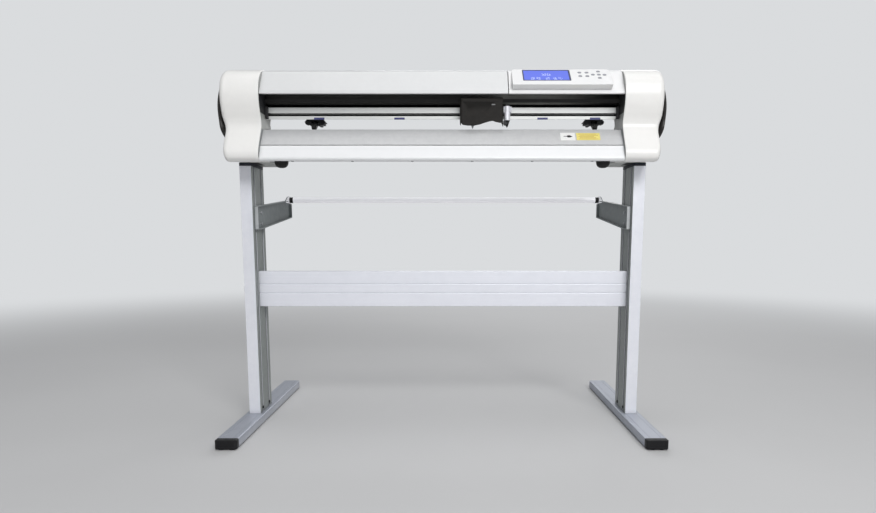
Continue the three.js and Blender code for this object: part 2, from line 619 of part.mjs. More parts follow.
const shaftRound = (radius, x0, x1, segments) =>
  roundX(radius, x0, x1, SHAFT.y, SHAFT.z, segments);
part("grit_shaft", FINISH.gritShaft, add(
  shaftRound(SHAFT.radius, -466, 447, 12),
  ...GRIT.xs.map((x) => shaftRound(GRIT.radius, x - 15, x + 15, 20))));
part("shaft_gear", FINISH.gear, cut(
  toothed(GEAR_TEETH, PINION_ANGLE, SHAFT.y, SHAFT.z, -461, -452),
  shaftRound(SHAFT.radius + 0.25, -465, -450, 12)));

// Half a tooth of phase makes the pinion mesh with the gear.
const PINION_PHASE = PINION_ANGLE + Math.PI + Math.PI / PINION_TEETH;
part("motor_pinion", FINISH.pinion, add(
  toothed(PINION_TEETH, PINION_PHASE, PINION_Y, PINION_Z, -462, -451),
  roundX(3, -452, FEED_MOTOR_X, PINION_Y, PINION_Z, 16)));
part("feed_motor", FINISH.motor, cut(
  alongX(motorOutline(PINION_Y, PINION_Z), FEED_MOTOR_X, -389),
  roundX(4, -441, -438, PINION_Y, PINION_Z, 16)));

// ---------------------------------------------------------------- carriage drive
const PULLEY_HUB_R = PULLEY.radius - 0.2;
const PULLEY_PROFILE = [ // [r, z]
  [0, 823.8], [18, 823.8], [18, 825.2], [PULLEY_HUB_R, 825.6],
  [PULLEY_HUB_R, 834.4], [18, 834.8], [18, 836.2], [0, 836.2],
];

// Two half circles round the pulleys, joined by straight runs.
function beltLoop(radius) {
  const steps = 12;
  return [[PULLEY.x, -Math.PI / 2], [-PULLEY.x, Math.PI / 2]].flatMap(([x, start]) =>
    Array.from({ length: steps + 1 }, (_, i) => {
      const angle = start + Math.PI * i / steps;
      return [x + radius * Math.cos(angle), PULLEY.y + radius * Math.sin(angle)];
    }));
}
function pulley(name, x, pinRadius) {
  const bore = roundZ(pinRadius + PULLEY.play, 820, 840, x, PULLEY.y, 12);
  part(name, FINISH.pulley, cut(turnedZ(PULLEY_PROFILE, x, PULLEY.y, 20), bore));
}

const BELT_INNER_R = PULLEY.radius + 0.3;
part("timing_belt", FINISH.belt, alongZ(
  beltLoop(BELT_INNER_R + BELT.thickness), BELT.z0, BELT.z1, [beltLoop(BELT_INNER_R)]));
pulley("drive_pulley", PULLEY.x, PULLEY.driveShaftR);
pulley("idler_pulley", -PULLEY.x, PULLEY.idlerPinR);
// Motor body, its bracket from the right side frame, and its shaft.
part("carriage_motor", FINISH.motor, add(
  alongZ(motorOutline(PULLEY.x, PULLEY.y), 841, 884),
  box(FRAME.x1, PULLEY.x + 23, PULLEY.y - 22, PULLEY.y + 22, 838.5, 841.5),
  roundZ(PULLEY.driveShaftR, 823, 839, PULLEY.x, PULLEY.y, 16)));

// ---------------------------------------------------------------- carriage
const HOLDER = { x: 159.5, y: -45 }; // blade holder axis
const PROBE_PROFILE = [ // [r, z]
  [0, 761.2], [1.2, 761.2], [2.2, 765], [4.2, 770], [4.2, 794], [0, 794],
];
const HOLDER_PROFILE = [ // [r, z]
  [0, 761.6], [0.5, 761.6], [1, 764.5], [2.6, 765.5], [3.4, 769], [6.6, 778.4], [7.5, 779.4],
  [7.5, 812.4], [6.6, 813.4], [4.6, 813.6], [4.6, 816], [3.8, 816.6], [0, 816.6],
];
const COVER_FRONT = [ // [x, z]
  [44, 832], [44, 778], [46.5, 771], [52, 767.2], [62, 765.2], [76, 765], [90, 767.4],
  [104, 771.4], [116, 774.6], [123, 776], [130, 774.2], [140, 772], [145.6, 771.4],
  [147.4, 764], [149.4, 762], [149.9, 765.4], [148.6, 775], [148.6, 832],
];

// Plate with ledges above and below the rail, a slotted belt block and a pointed probe.
function carriagePlate() {
  const plate = add(
    box(52, 140, -27, -21, 790, 824),
    box(52, 140, -22, -12.6, 816.4, 821.4),
    box(52, 140, -22, -12.6, 796.2, 800.6),
    box(80, 112, -32.4, -23.4, 822, 836));
  const beltSlot = box(70, 120, -29.6, -26.4, 825.2, 840);
  const probe = add(box(69, 81, -46, -26, 792, 800), turnedZ(PROBE_PROFILE, 75, -42, 20));
  part("carriage_plate", FINISH.carriagePlate, add(cut(plate, beltSlot), probe));
}

// Shell shaped in front, plan and side view, open behind, below and to the right.
function carriageCover() {
  const block = common(
    alongY(COVER_FRONT, -60, -22),
    alongZ(filleted(
      [[44, -60, 7], [148.6, -60, 3], [151, -50], [151, -22], [44, -22]], 4), 750, 840),
    alongX(filleted([[-60, 750], [-60, 832, 5], [-22, 832], [-22, 750]], 4), 40, 155));
  const hollow = add(
    box(46.2, 146.2, -57.8, -20, 740, 829.8),
    box(40, 155, -33.6, -20, 822, 840),
    box(140, 156, -41, -20, 740, 829.8),
    box(140, 156, -57.8, -20, 740, 771.8));
  const posts = [56, 104].map((x) => box(x, x + 6, -58.5, -27, 808, 814));
  part("carriage_cover", FINISH.carriageCover, add(cut(block, hollow), ...posts));
}

function toolSlide() {
  const slide = add(
    box(150.2, 170, HOLDER.y - 5, -31, 798, 812),
    box(138, 152, -37, -31, 798, 812),
    box(118, 142, -33.4, -27.5, 784, 819));
  const bore = roundZ(7.9, 780, 830, HOLDER.x, HOLDER.y, 16);
  part("tool_slide", FINISH.toolSlide, cut(slide, bore));
}

carriagePlate();
carriageCover();
toolSlide();
part("blade_holder", FINISH.bladeHolder, turnedZ(HOLDER_PROFILE, HOLDER.x, HOLDER.y, 16));

// ---------------------------------------------------------------- pinch rollers
const PINCH_X = { left: -323, right: 384 };
const HINGE = { y: 18, z: 781.5, radius: 2 };
const WHEEL = { y: SHAFT.y, z: 768.9, radius: 8, axleR: 1.8 };
const BRACKET_FRONT = [ // [x from the roller's middle, z]
  [-26, 785], [-24, 779.4], [-19, 777], [-14, 777.6], [-10.5, 775.4], [10.5, 775.4],
  [14, 777.6], [19, 777], [24, 779.4], [26, 785], [21, 790.5], [13, 800], [-13, 800], [-21, 790.5],
];
const BRACKET_SIDE = [ // [y, z]
  [0, 775], [34, 777], [34, 798.2], [17, 793.7], [16.4, 793.7], [16.4, 798.2], [5.6, 798.2],
  [5.6, 791.6], [0, 790.5],
];
const PINCH_ARM_SIDE = [ // [y, z, radius]
  [WHEEL.y - 4.4, WHEEL.z + 3.6, 3], [WHEEL.y - 3.6, WHEEL.z - 4.2, 3],
  [WHEEL.y + 4, WHEEL.z - 3.6, 3], [9, 777.2], [HINGE.y, 778], [40, 781.5], [64, 787, 2],
  [63, 791.5, 2], [38, 786], [HINGE.y, 785.4, 2], [6, 784.4, 3],
];
// A round along X, centred on x.
const centred = (radius, x, half, { y, z }, segments) =>
  roundX(radius, x - half, x + half, y, z, segments);

function pinchBracket(side, x) {
  const block = common(
    alongY(BRACKET_FRONT.map(([dx, z]) => [x + dx, z]), -2, 40),
    alongX(BRACKET_SIDE, x - 30, x + 30));
  part("pinch_bracket_" + side, FINISH.pinchBracket, cut(block,
    box(x + 14.5, x + 30, 7, 45, 770, 785.5),
    box(x - 30, x - 14.5, 7, 45, 770, 785.5),
    box(x - 8.2, x + 8.2, -5, 45, 770, 787.5),
    centred(HINGE.radius + 0.35, x, 14, HINGE, 16)));
}

// Arm with its hinge pin, a cross bar at the rear and a fork for the wheel at the front.
function pinchArm(side, x) {
  const arm = add(
    alongX(filleted(PINCH_ARM_SIDE, 3), x - 6.6, x + 6.6),
    centred(HINGE.radius, x, 13, HINGE, 16),
    box(x - 15, x + 15, 57, 66, 786, 790.5));
  part("pinch_arm_" + side, FINISH.pinchArm, cut(arm,
    box(x - 4.5, x + 4.5, WHEEL.y - 12, WHEEL.y + 10.5, 750, 800),
    centred(WHEEL.axleR + 0.35, x, 10, WHEEL, 16)));
}

for (const [side, x] of Object.entries(PINCH_X)) {
  pinchBracket(side, x);
  pinchArm(side, x);
  part("pinch_wheel_" + side, FINISH.pinchWheel, add(
    centred(WHEEL.radius, x, 4.1, WHEEL, 20),
    centred(WHEEL.axleR, x, 6.4, WHEEL, 16)));
}

const root = new THREE.Group();
root.add(machine);
export default root;
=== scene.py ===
"""Vinyl cutter on its floor stand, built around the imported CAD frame.

Sizes are in millimetres and become metres as the meshes are made. X runs along the machine
(left is -X), the operator stands at -Y and Z is up from the floor. In the machine layout
Y = 0 is the front face of the uprights.
"""
import math
import random

import bmesh
import bpy
from mathutils import Matrix, Vector


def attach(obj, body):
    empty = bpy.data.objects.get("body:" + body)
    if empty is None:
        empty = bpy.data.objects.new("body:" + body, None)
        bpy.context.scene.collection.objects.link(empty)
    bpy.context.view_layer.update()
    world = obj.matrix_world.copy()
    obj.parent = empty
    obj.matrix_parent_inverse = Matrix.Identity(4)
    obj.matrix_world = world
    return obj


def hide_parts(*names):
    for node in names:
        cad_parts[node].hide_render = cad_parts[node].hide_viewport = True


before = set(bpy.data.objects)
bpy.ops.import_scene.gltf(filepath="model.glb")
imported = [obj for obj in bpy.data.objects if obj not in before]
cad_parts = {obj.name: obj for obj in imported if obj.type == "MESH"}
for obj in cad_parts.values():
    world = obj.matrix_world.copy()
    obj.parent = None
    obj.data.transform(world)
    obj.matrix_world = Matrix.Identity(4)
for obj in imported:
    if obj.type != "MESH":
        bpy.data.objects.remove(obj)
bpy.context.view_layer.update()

SCENE = bpy.context.scene
random.seed(7)

# ------------------------------------------------------------------ shared dimensions
LAYOUT_Y = -80.0  # where the layout's Y = 0 lies in the scene
SIDES = (("left", -1), ("right", 1))

UP_X, UP_W, UP_D = 505, 29.7, 100.2  # upright: centre, width and depth
UP_TOP, SEAT = 676, 684.3            # upright's top, and the seat of the machine above it
INNER, OUTER = UP_X - UP_W / 2, UP_X + UP_W / 2
FOOT_W, FOOT_Z0, FOOT_Z1 = 52.4, 2.5, 24.5
FOOT_FRONT, FOOT_BACK = -217, 377
TUBE_FRONT = FOOT_FRONT + 16         # the foot's front cap ends here
BAR_Y, BAR_Z = 355, 611              # media bar axis
BEAM_X = 440                         # half length of the body between the end covers
CAP_IN = BEAM_X
TOP = 905
SHAFT_Y, SHAFT_Z = -10, 748.3        # feed shaft axis
GRIT_X = (-314, -107, 75, 251, 383)
LABEL_X = (-307.5, -107, 75, 250.7, 382)


# ------------------------------------------------------------------ shader node helpers
def add_node(tree, kind, **settings):
    """A node; each setting goes to the input of that name, or else to the property."""
    node = tree.nodes.new(kind)
    for key, value in settings.items():
        if key in node.inputs:
            node.inputs[key].default_value = value
        else:
            setattr(node, key, value)
    return node


def feed(tree, value, socket):
    """Links a socket, or sets a plain value."""
    if isinstance(value, bpy.types.NodeSocket):
        tree.links.new(value, socket)
    else:
        socket.default_value = value


def calc(tree, operation, a, b=None, clamp=False):
    node = add_node(tree, "ShaderNodeMath", operation=operation, use_clamp=clamp)
    feed(tree, a, node.inputs[0])
    if b is not None:
        feed(tree, b, node.inputs[1])
    return node.outputs[0]


def ramp(tree, value, from_min=0.0, from_max=1.0, to_min=0.0, to_max=1.0, style="LINEAR"):
    node = add_node(tree, "ShaderNodeMapRange", interpolation_type=style)
    limits = (("From Min", from_min), ("From Max", from_max), ("To Min", to_min), ("To Max", to_max))
    for key, limit in limits:
        node.inputs[key].default_value = limit
    tree.links.new(value, node.inputs["Value"])
    return node.outputs[0]


def scaled(tree, colour, factor):
    node = add_node(tree, "ShaderNodeVectorMath", operation="SCALE")
    feed(tree, colour, node.inputs[0])
    tree.links.new(factor, node.inputs["Scale"])
    return node.outputs[0]


def mixed(tree, factor, colour, other):
    node = add_node(tree, "ShaderNodeMix", data_type="RGBA")
    tree.links.new(factor, node.inputs[0])
    tree.links.new(colour, node.inputs[6])
    node.inputs[7].default_value = other
    return node.outputs[2]


def mixed_shader(tree, factor, first, second, out):
    node = add_node(tree, "ShaderNodeMixShader")
    for k, source in enumerate((factor, first, second)):
        tree.links.new(source, node.inputs[k])
    tree.links.new(node.outputs[0], out)


def noise(tree, coords, scale, detail, roughness=0.5):
    node = add_node(tree, "ShaderNodeTexNoise", Scale=scale, Detail=detail, Roughness=roughness)
    tree.links.new(coords, node.inputs["Vector"])
    return node.outputs["Fac"]


def relief(tree, height, strength, depth, normal=None):
    """Bump on top of an earlier normal."""
    node = add_node(tree, "ShaderNodeBump", Strength=strength, Distance=depth)
    tree.links.new(height, node.inputs["Height"])
    if normal:
        tree.links.new(normal, node.inputs["Normal"])
    return node.outputs[0]


def srgb(rgb):
    """An sRGB colour in 0 to 255 levels as linear RGBA."""
    linear = []
    for level in rgb:
        level = level / 255
        linear.append(level / 12.92 if level <= 0.04045 else ((level + 0.055) / 1.055) ** 2.4)
    return (*linear, 1.0)


# ------------------------------------------------------------------ finishes
MATS = {}
GRAIN_DEPTH, STREAK_DEPTH = 0.0006, 0.0004  # bump distances, metres
PIT_SCALE = 1400


def finish(name, color, rough, metal=0.0, tone=0.05, gloss=0.08, grain=1800, bump=0.05,
           streak=None, groove=0.0, shade=0.0, wear_and_highlight=None, edge=0.5, grime_and_shade=0.0, coat=0.0,
           spec=0.5, glow=None, glow_strength=0.0, pits=0.0, web=None, side_shade_amount=0.0):
    """A layered procedural finish. Colours are sRGB levels.

    tone, gloss: unevenness of colour and roughness; grain, bump: scale and strength of the
    fine grain; streak, groove, shade: scale, relief and colour of the drawn streaks; worn,
    edge: colour and amount of the edge tint, partly edge wear and partly a painted highlight;
    grime: corners darkened in colour, partly dirt and partly painted shade; pits: strength of
    cell relief; web, side_shade_amount: colour and amount of the painted shade on the faces that
    look along X.
    """
    m = bpy.data.materials.new(name)
    m.use_nodes = True
    tree = m.node_tree
    tree.nodes.clear()
    link = tree.links.new
    out = add_node(tree, "ShaderNodeOutputMaterial")
    bsdf = add_node(tree, "ShaderNodeBsdfPrincipled", **{
        "Metallic": metal, "Specular IOR Level": spec, "Coat Weight": coat,
        "Coat Roughness": 0.15})
    link(bsdf.outputs[0], out.inputs[0])
    coords = add_node(tree, "ShaderNodeTexCoord").outputs["Object"]
    cloud = noise(tree, coords, scale=9.0, detail=4.0, roughness=0.6)
    mottle = noise(tree, coords, scale=70.0, detail=5.0, roughness=0.65)

    average = calc(tree, "MULTIPLY", calc(tree, "ADD", cloud, mottle), 0.5)
    level = ramp(tree, average, 0.3, 0.7, 1.0 - tone, 1.0 + tone * 0.4)
    colour = scaled(tree, srgb(color)[:3], level)
    if streak:
        mapping = add_node(tree, "ShaderNodeMapping", Scale=streak)
        link(coords, mapping.inputs["Vector"])
        lines = noise(tree, mapping.outputs[0], scale=1.0, detail=3.0, roughness=0.7)
        if shade:
            level = ramp(tree, lines, 0.3, 0.7, 1 - shade, 1 + shade * 0.5)
            colour = scaled(tree, colour, level)
    # edge tint from pointiness: partly edge wear, partly a painted highlight on sharp edges
    if wear_and_highlight:
        geometry = add_node(tree, "ShaderNodeNewGeometry")
        ridge = ramp(tree, geometry.outputs["Pointiness"], 0.52, 0.62, to_max=edge)
        colour = mixed(tree, calc(tree, "MULTIPLY", ridge, mottle), colour, srgb(wear_and_highlight))
    # painted shade: faces that look along X are mixed towards a darker colour
    if web:
        geometry = add_node(tree, "ShaderNodeNewGeometry")
        split = add_node(tree, "ShaderNodeSeparateXYZ")
        link(geometry.outputs["True Normal"], split.inputs[0])
        sideways = calc(tree, "ABSOLUTE", split.outputs["X"])
        colour = mixed(tree, calc(tree, "MULTIPLY", sideways, side_shade_amount), colour, srgb(web))
    # ambient occlusion darkens the colour in corners and creases: partly dirt, partly painted shade
    if grime_and_shade:
        corner = add_node(tree, "ShaderNodeAmbientOcclusion", samples=4, Distance=0.012)
        colour = scaled(tree, colour, ramp(tree, corner.outputs["AO"], 0.25, 0.95, 1 - grime_and_shade))
    link(colour, bsdf.inputs["Base Color"])
    link(ramp(tree, mottle, 0.3, 0.7, max(0.02, rough - gloss), min(1.0, rough + gloss)),
         bsdf.inputs["Roughness"])

    normal = relief(tree, noise(tree, coords, grain, detail=2.0), bump, GRAIN_DEPTH)
    if pits:
        cells = add_node(tree, "ShaderNodeTexVoronoi", Scale=PIT_SCALE)
        link(coords, cells.inputs["Vector"])
        normal = relief(tree, cells.outputs["Distance"], pits, GRAIN_DEPTH, normal)
    if streak:
        normal = relief(tree, lines, groove, STREAK_DEPTH, normal)
    link(normal, bsdf.inputs["Normal"])
    if glow:
        bsdf.inputs["Emission Color"].default_value = srgb(glow)
        bsdf.inputs["Emission Strength"].default_value = glow_strength
    MATS[name] = m


finish("white_plastic", (243, 242, 239), rough=0.33, grain=1400, tone=0.025, gloss=0.04,
       coat=0.15, wear_and_highlight=(252, 252, 250), grime_and_shade=0.25)
finish("cover_metal", (224, 225, 225), rough=0.36, metal=0.15, grain=1100, bump=0.06, tone=0.03,
       gloss=0.03, streak=(3, 500, 500), groove=0.02, wear_and_highlight=(245, 245, 245), grime_and_shade=0.25)
finish("panel_plastic", (238, 238, 238), rough=0.34, grain=1500, tone=0.02, gloss=0.03,
       wear_and_highlight=(252, 252, 252), grime_and_shade=0.3)
finish("platen_metal", (202, 203, 204), rough=0.34, metal=0.3, grain=1300, bump=0.04, tone=0.03,
       gloss=0.025, streak=(2.5, 420, 420), groove=0.03, shade=0.03, wear_and_highlight=(235, 235, 235),
       grime_and_shade=0.1)
finish("apron_metal", (243, 244, 245), rough=0.36, metal=0.05, grain=1100, tone=0.02, gloss=0.03,
       streak=(3, 400, 400), groove=0.015, wear_and_highlight=(252, 252, 252), edge=0.4, grime_and_shade=0.25)
# painted shade: the web faces of the uprights are painted duller and darker than the face towards
# the operator, as less light falls on them
finish("upright_aluminium", (236, 238, 246), rough=0.42, metal=0.25, bump=0.03, tone=0.03,
       streak=(900, 900, 4), groove=0.03, shade=0.03, wear_and_highlight=(250, 250, 252), grime_and_shade=0.3,
       web=(128, 134, 130), side_shade_amount=0.92)
finish("crossbeam_aluminium", (240, 242, 250), rough=0.42, metal=0.25, bump=0.03, tone=0.03,
       streak=(4, 900, 900), groove=0.03, shade=0.03, wear_and_highlight=(250, 250, 252), grime_and_shade=0.3)
finish("foot_aluminium", (168, 173, 184), rough=0.42, metal=0.4, bump=0.03, tone=0.04, gloss=0.1,
       streak=(900, 4, 900), groove=0.03, shade=0.04, wear_and_highlight=(235, 236, 240), edge=0.6, grime_and_shade=0.3)
finish("beam_aluminium", (214, 216, 214), rough=0.46, metal=0.3, bump=0.02, tone=0.03,
       streak=(3, 600, 600), groove=0.01, shade=0.03, wear_and_highlight=(238, 239, 239), edge=0.4, grime_and_shade=0.25)
finish("rail_steel", (214, 216, 214), rough=0.44, metal=0.35, grain=2000, bump=0.02, tone=0.04,
       streak=(2, 600, 600), groove=0.01, shade=0.03, wear_and_highlight=(240, 241, 241), edge=0.4, grime_and_shade=0.25)
finish("black_plastic", (24, 24, 26), rough=0.5, grain=1900, bump=0.12, tone=0.15, gloss=0.12,
       spec=0.3, wear_and_highlight=(90, 90, 92), grime_and_shade=0.2)
finish("carriage_plastic", (23, 21, 19), rough=0.66, grain=1700, bump=0.1, tone=0.14,
       spec=0.16, wear_and_highlight=(66, 64, 62), edge=0.6, grime_and_shade=0.2)
finish("dark_plastic", (38, 36, 34), rough=0.48, grain=1600, bump=0.12, tone=0.12, gloss=0.1,
       spec=0.4, wear_and_highlight=(90, 88, 86), edge=0.4, grime_and_shade=0.2)
finish("black_steel", (30, 30, 32), rough=0.42, metal=0.2, grain=700, bump=0.1, tone=0.12,
       gloss=0.12, wear_and_highlight=(120, 120, 122), edge=0.8, grime_and_shade=0.3)
finish("dark_metal", (40, 40, 38), rough=0.42, metal=0.3, grain=1200, bump=0.06, tone=0.1,
       gloss=0.1, streak=(3, 700, 700), groove=0.04, shade=0.08, wear_and_highlight=(120, 120, 118), edge=0.6,
       grime_and_shade=0.3)
finish("grey_steel", (132, 138, 139), rough=0.5, metal=0.15, grain=800, bump=0.08, tone=0.08,
       gloss=0.12, wear_and_highlight=(200, 202, 204), edge=0.7, grime_and_shade=0.35)
finish("frame_metal", (182, 184, 181), rough=0.5, metal=0.1, grain=900, bump=0.08, tone=0.06,
       gloss=0.1, wear_and_highlight=(214, 214, 212), grime_and_shade=0.3)
finish("guard_metal", (62, 62, 60), rough=0.55, grain=1200, bump=0.06, tone=0.1, gloss=0.1,
       streak=(3, 700, 700), groove=0.03, shade=0.06, spec=0.3, wear_and_highlight=(100, 100, 98), edge=0.3,
       grime_and_shade=0.3)
finish("navy_steel", (27, 32, 42), rough=0.5, metal=0.1, grain=900, bump=0.1, tone=0.15,
       gloss=0.1, spec=0.35, wear_and_highlight=(90, 95, 105), edge=0.7, grime_and_shade=0.2)
# painted sheen: the bar's finish glows faintly, standing in for the bright surroundings that its
# polished metal reflects
finish("bar_metal", (250, 250, 252), rough=0.36, metal=0.1, grain=1500, bump=0.02, tone=0.02,
       gloss=0.06, streak=(3, 500, 500), groove=0.01, shade=0.02, wear_and_highlight=(255, 255, 255), edge=0.4,
       glow=(240, 240, 246), glow_strength=0.28)
finish("rubber", (22, 22, 22), rough=0.72, grain=1600, bump=0.2, tone=0.2, gloss=0.12,
       wear_and_highlight=(70, 70, 70), grime_and_shade=0.2)
finish("belt_rubber", (30, 30, 30), rough=0.66, bump=0.15, tone=0.2, gloss=0.1,
       wear_and_highlight=(80, 80, 80))
finish("key_plastic", (152, 154, 160), rough=0.42, bump=0.08, wear_and_highlight=(215, 216, 220), edge=0.6,
       grime_and_shade=0.3)
finish("strip_plastic", (236, 236, 232), rough=0.6, grain=1500, bump=0.1, tone=0.04,
       streak=(2, 800, 800), groove=0.08, shade=0.05)
finish("shaft_steel", (168, 170, 172), rough=0.3, metal=0.9, grain=2000, bump=0.03, gloss=0.1,
       streak=(3, 900, 900), groove=0.05, shade=0.05)
finish("grit", (120, 122, 124), rough=0.62, metal=0.7, grain=2200, bump=0.4, tone=0.2,
       gloss=0.15, pits=0.8)
finish("gear_plastic", (232, 229, 217), rough=0.45, grain=1500, bump=0.06,
       wear_and_highlight=(250, 248, 240), edge=0.4, grime_and_shade=0.4)
finish("brass_gear", (200, 162, 76), rough=0.3, metal=1.0, bump=0.03, tone=0.08, gloss=0.1,
       wear_and_highlight=(240, 214, 150), edge=0.4, grime_and_shade=0.4)
finish("motor_black", (44, 44, 46), rough=0.45, metal=0.3, grain=900, bump=0.08, tone=0.1,
       gloss=0.1, streak=(500, 500, 8), groove=0.04, wear_and_highlight=(120, 120, 122), edge=0.6, grime_and_shade=0.3)
finish("pulley_metal", (196, 197, 199), rough=0.3, metal=0.9, bump=0.03, wear_and_highlight=(235, 235, 238),
       edge=0.4)
finish("carriage_metal", (150, 153, 156), rough=0.34, metal=0.7, grain=1600, bump=0.03,
       tone=0.06, streak=(6, 900, 900), groove=0.04, wear_and_highlight=(225, 226, 228), grime_and_shade=0.3)
finish("clamp_metal", (186, 188, 194), rough=0.5, metal=0.2, grain=1700, bump=0.03,
       streak=(900, 900, 6), groove=0.02, spec=0.35, wear_and_highlight=(215, 216, 220), grime_and_shade=0.3)
finish("badge", (112, 112, 114), rough=0.5, metal=0.2, grain=1700, tone=0.08,
       wear_and_highlight=(160, 160, 162), edge=0.4)
# painted shade: near-black finish for thin sheets that stand in for deep shade in gaps
finish("painted_shade_black", (7, 7, 8), rough=0.8, grain=1500, tone=0.2, gloss=0.05, spec=0.08)
finish("arm_bright", (176, 180, 182), rough=0.4, metal=0.2, grain=1300, wear_and_highlight=(225, 226, 228))
finish("holder_metal", (236, 236, 242), rough=0.42, metal=0.25, bump=0.02, tone=0.04, gloss=0.06,
       streak=(900, 900, 6), groove=0.02, spec=0.4, wear_and_highlight=(235, 235, 238), edge=0.4, grime_and_shade=0.3)
finish("screw_steel", (176, 178, 182), rough=0.28, metal=0.95, grain=2200, bump=0.03, tone=0.1,
       gloss=0.1, wear_and_highlight=(235, 235, 238), edge=0.4, grime_and_shade=0.5)
finish("screw_black", (40, 40, 42), rough=0.36, metal=0.8, grain=2200, bump=0.04, tone=0.15,
       gloss=0.1, wear_and_highlight=(130, 130, 132), edge=0.6, grime_and_shade=0.3)
finish("circuit_board", (31, 90, 58), rough=0.4, grain=1500, bump=0.1, tone=0.12)
finish("blue_label", (34, 36, 92), rough=0.45, bump=0.06, tone=0.1, gloss=0.06,
       wear_and_highlight=(110, 116, 170), edge=0.4)
finish("label_white", (247, 247, 245), rough=0.45, grain=1600, tone=0.03, gloss=0.06,
       wear_and_highlight=(225, 225, 222), edge=0.4)
finish("label_yellow", (238, 222, 120), rough=0.45, grain=1600, tone=0.06, gloss=0.06,
       wear_and_highlight=(250, 240, 170), edge=0.4)
finish("label_ink", (34, 34, 36), rough=0.5, grain=1600, bump=0.08, tone=0.15, gloss=0.06)
finish("label_brown", (196, 164, 70), rough=0.5, grain=1600, bump=0.08, tone=0.12, gloss=0.06)
finish("lcd_blue", (92, 112, 226), rough=0.34, grain=1400, bump=0.03, tone=0.06, gloss=0.05,
       coat=0.1, glow=(84, 104, 220), glow_strength=0.12)
finish("lcd_pixel", (196, 208, 255), rough=0.34, grain=1400, bump=0.03, gloss=0.05,
       glow=(180, 196, 255), glow_strength=0.12)
finish("lcd_bezel", (60, 64, 96), rough=0.3, grain=1600, tone=0.1, gloss=0.06,
       wear_and_highlight=(120, 124, 150), edge=0.4)
finish("panel_line", (196, 198, 204), rough=0.4, grain=1600, gloss=0.06)


def painted_light_band(name, rise, fall, gain, beyond):
    """Painted light: multiplies a finish's colour by gain between two ramps along X (metres), and by
    beyond past them, so that a band looks lit.
    """
    tree = MATS[name].node_tree
    bsdf = next(n for n in tree.nodes if n.type == "BSDF_PRINCIPLED")
    colour = bsdf.inputs["Base Color"].links[0].from_socket
    coords = add_node(tree, "ShaderNodeTexCoord")
    split = add_node(tree, "ShaderNodeSeparateXYZ")
    tree.links.new(coords.outputs["Object"], split.inputs[0])
    x = split.outputs["X"]
    up = ramp(tree, x, *rise, to_min=1.0, to_max=gain, style="SMOOTHSTEP")
    down = ramp(tree, x, *fall, to_min=1.0, to_max=beyond / gain, style="SMOOTHSTEP")
    colour = scaled(tree, colour, calc(tree, "MULTIPLY", up, down))
    tree.links.new(colour, bsdf.inputs["Base Color"])


# painted light: the belt guard is lighter in a band right of the middle and darker past 0.42 m
# towards its right end
painted_light_band("guard_metal", rise=(0.02, 0.16), fall=(0.24, 0.42), gain=5.5, beyond=0.42)


# ------------------------------------------------------------------ outlines
def span(sign, a, b):
    """The X range a to b on the right, mirrored on the left."""
    return (-b, -a) if sign < 0 else (a, b)


def corners(x0, x1, y0, y1):
    return [[x0, y0], [x1, y0], [x1, y1], [x0, y1]]


def filleted(points, closed=True, steps=8):
    """A polygon of [x, y] or [x, y, radius] corners with the radii rounded."""
    out, count = [], len(points)
    for i, corner in enumerate(points):
        x, y, radius = corner[0], corner[1], (corner[2] if len(corner) > 2 else 0)
        if not radius or (not closed and i in (0, count - 1)):
            out.append([x, y])
            continue
        before, after = points[(i - 1) % count], points[(i + 1) % count]
        back = Vector((before[0] - x, before[1] - y)).normalized()
        ahead = Vector((after[0] - x, after[1] - y)).normalized()
        half = math.acos(max(-1, min(1, back.dot(ahead)))) / 2
        run = radius / math.tan(half)
        centre = Vector((x, y)) + (back + ahead).normalized() * (radius / math.sin(half))
        start, end = Vector((x, y)) + back * run, Vector((x, y)) + ahead * run
        first = math.atan2(start.y - centre.y, start.x - centre.x)
        sweep = math.atan2(end.y - centre.y, end.x - centre.x) - first
        sweep = (sweep + math.pi) % (2 * math.pi) - math.pi
        for k in range(steps + 1):
            angle = first + sweep * k / steps
            out.append([centre.x + radius * math.cos(angle), centre.y + radius * math.sin(angle)])
    return out


def rect(x0, x1, y0, y1, radius, steps=5):
    return filleted([[x, y, radius] for x, y in corners(x0, x1, y0, y1)], True, steps)


def catmull(points, steps):
    """A Catmull-Rom curve through the points, in equal parameter steps."""
    out, last = [], len(points) - 1
    for i in range(steps + 1):
        at = last * i / steps
        k = min(int(at), last)
        w = at - k
        stencil = (points[k - 1 if k else 0], points[k],
                   points[min(k + 1, last)], points[min(k + 2, last)])
        q = []
        for a, b, c, d in zip(*stencil):
            v0, v1 = (c - a) / 2, (d - b) / 2
            q.append((2 * b - 2 * c + v0 + v1) * w ** 3
                     + (-3 * b + 3 * c - 2 * v0 - v1) * w ** 2 + v0 * w + b)
        out.append(q)
    return out


def right_normal(a, b):
    """Unit vector to the right of the way from a to b; None if they coincide."""
    dx, dy = b[0] - a[0], b[1] - a[1]
    length = math.hypot(dx, dy)
    return (dy / length, -dx / length) if length > 1e-9 else None


def offset_path(points, distance, closed=False):
    """The path moved to its right, which is outwards on a counter-clockwise loop."""
    count, out = len(points), []
    for i, p in enumerate(points):
        before = points[(i - 1) % count] if closed else points[max(i - 1, 0)]
        after = points[(i + 1) % count] if closed else points[min(i + 1, count - 1)]
        n1, n2 = right_normal(before, p), right_normal(p, after)
        n1, n2 = n1 or n2, n2 or n1
        m = (n1[0] + n2[0], n1[1] + n2[1])
        k = 2 / max(m[0] ** 2 + m[1] ** 2, 0.5)
        out.append([p[0] + m[0] * k * distance, p[1] + m[1] * k * distance])
    return out


def ribbon(points, thickness):
    """The outline of a sheet that follows an open path."""
    return [list(p) for p in points] + offset_path(points, thickness)[::-1]


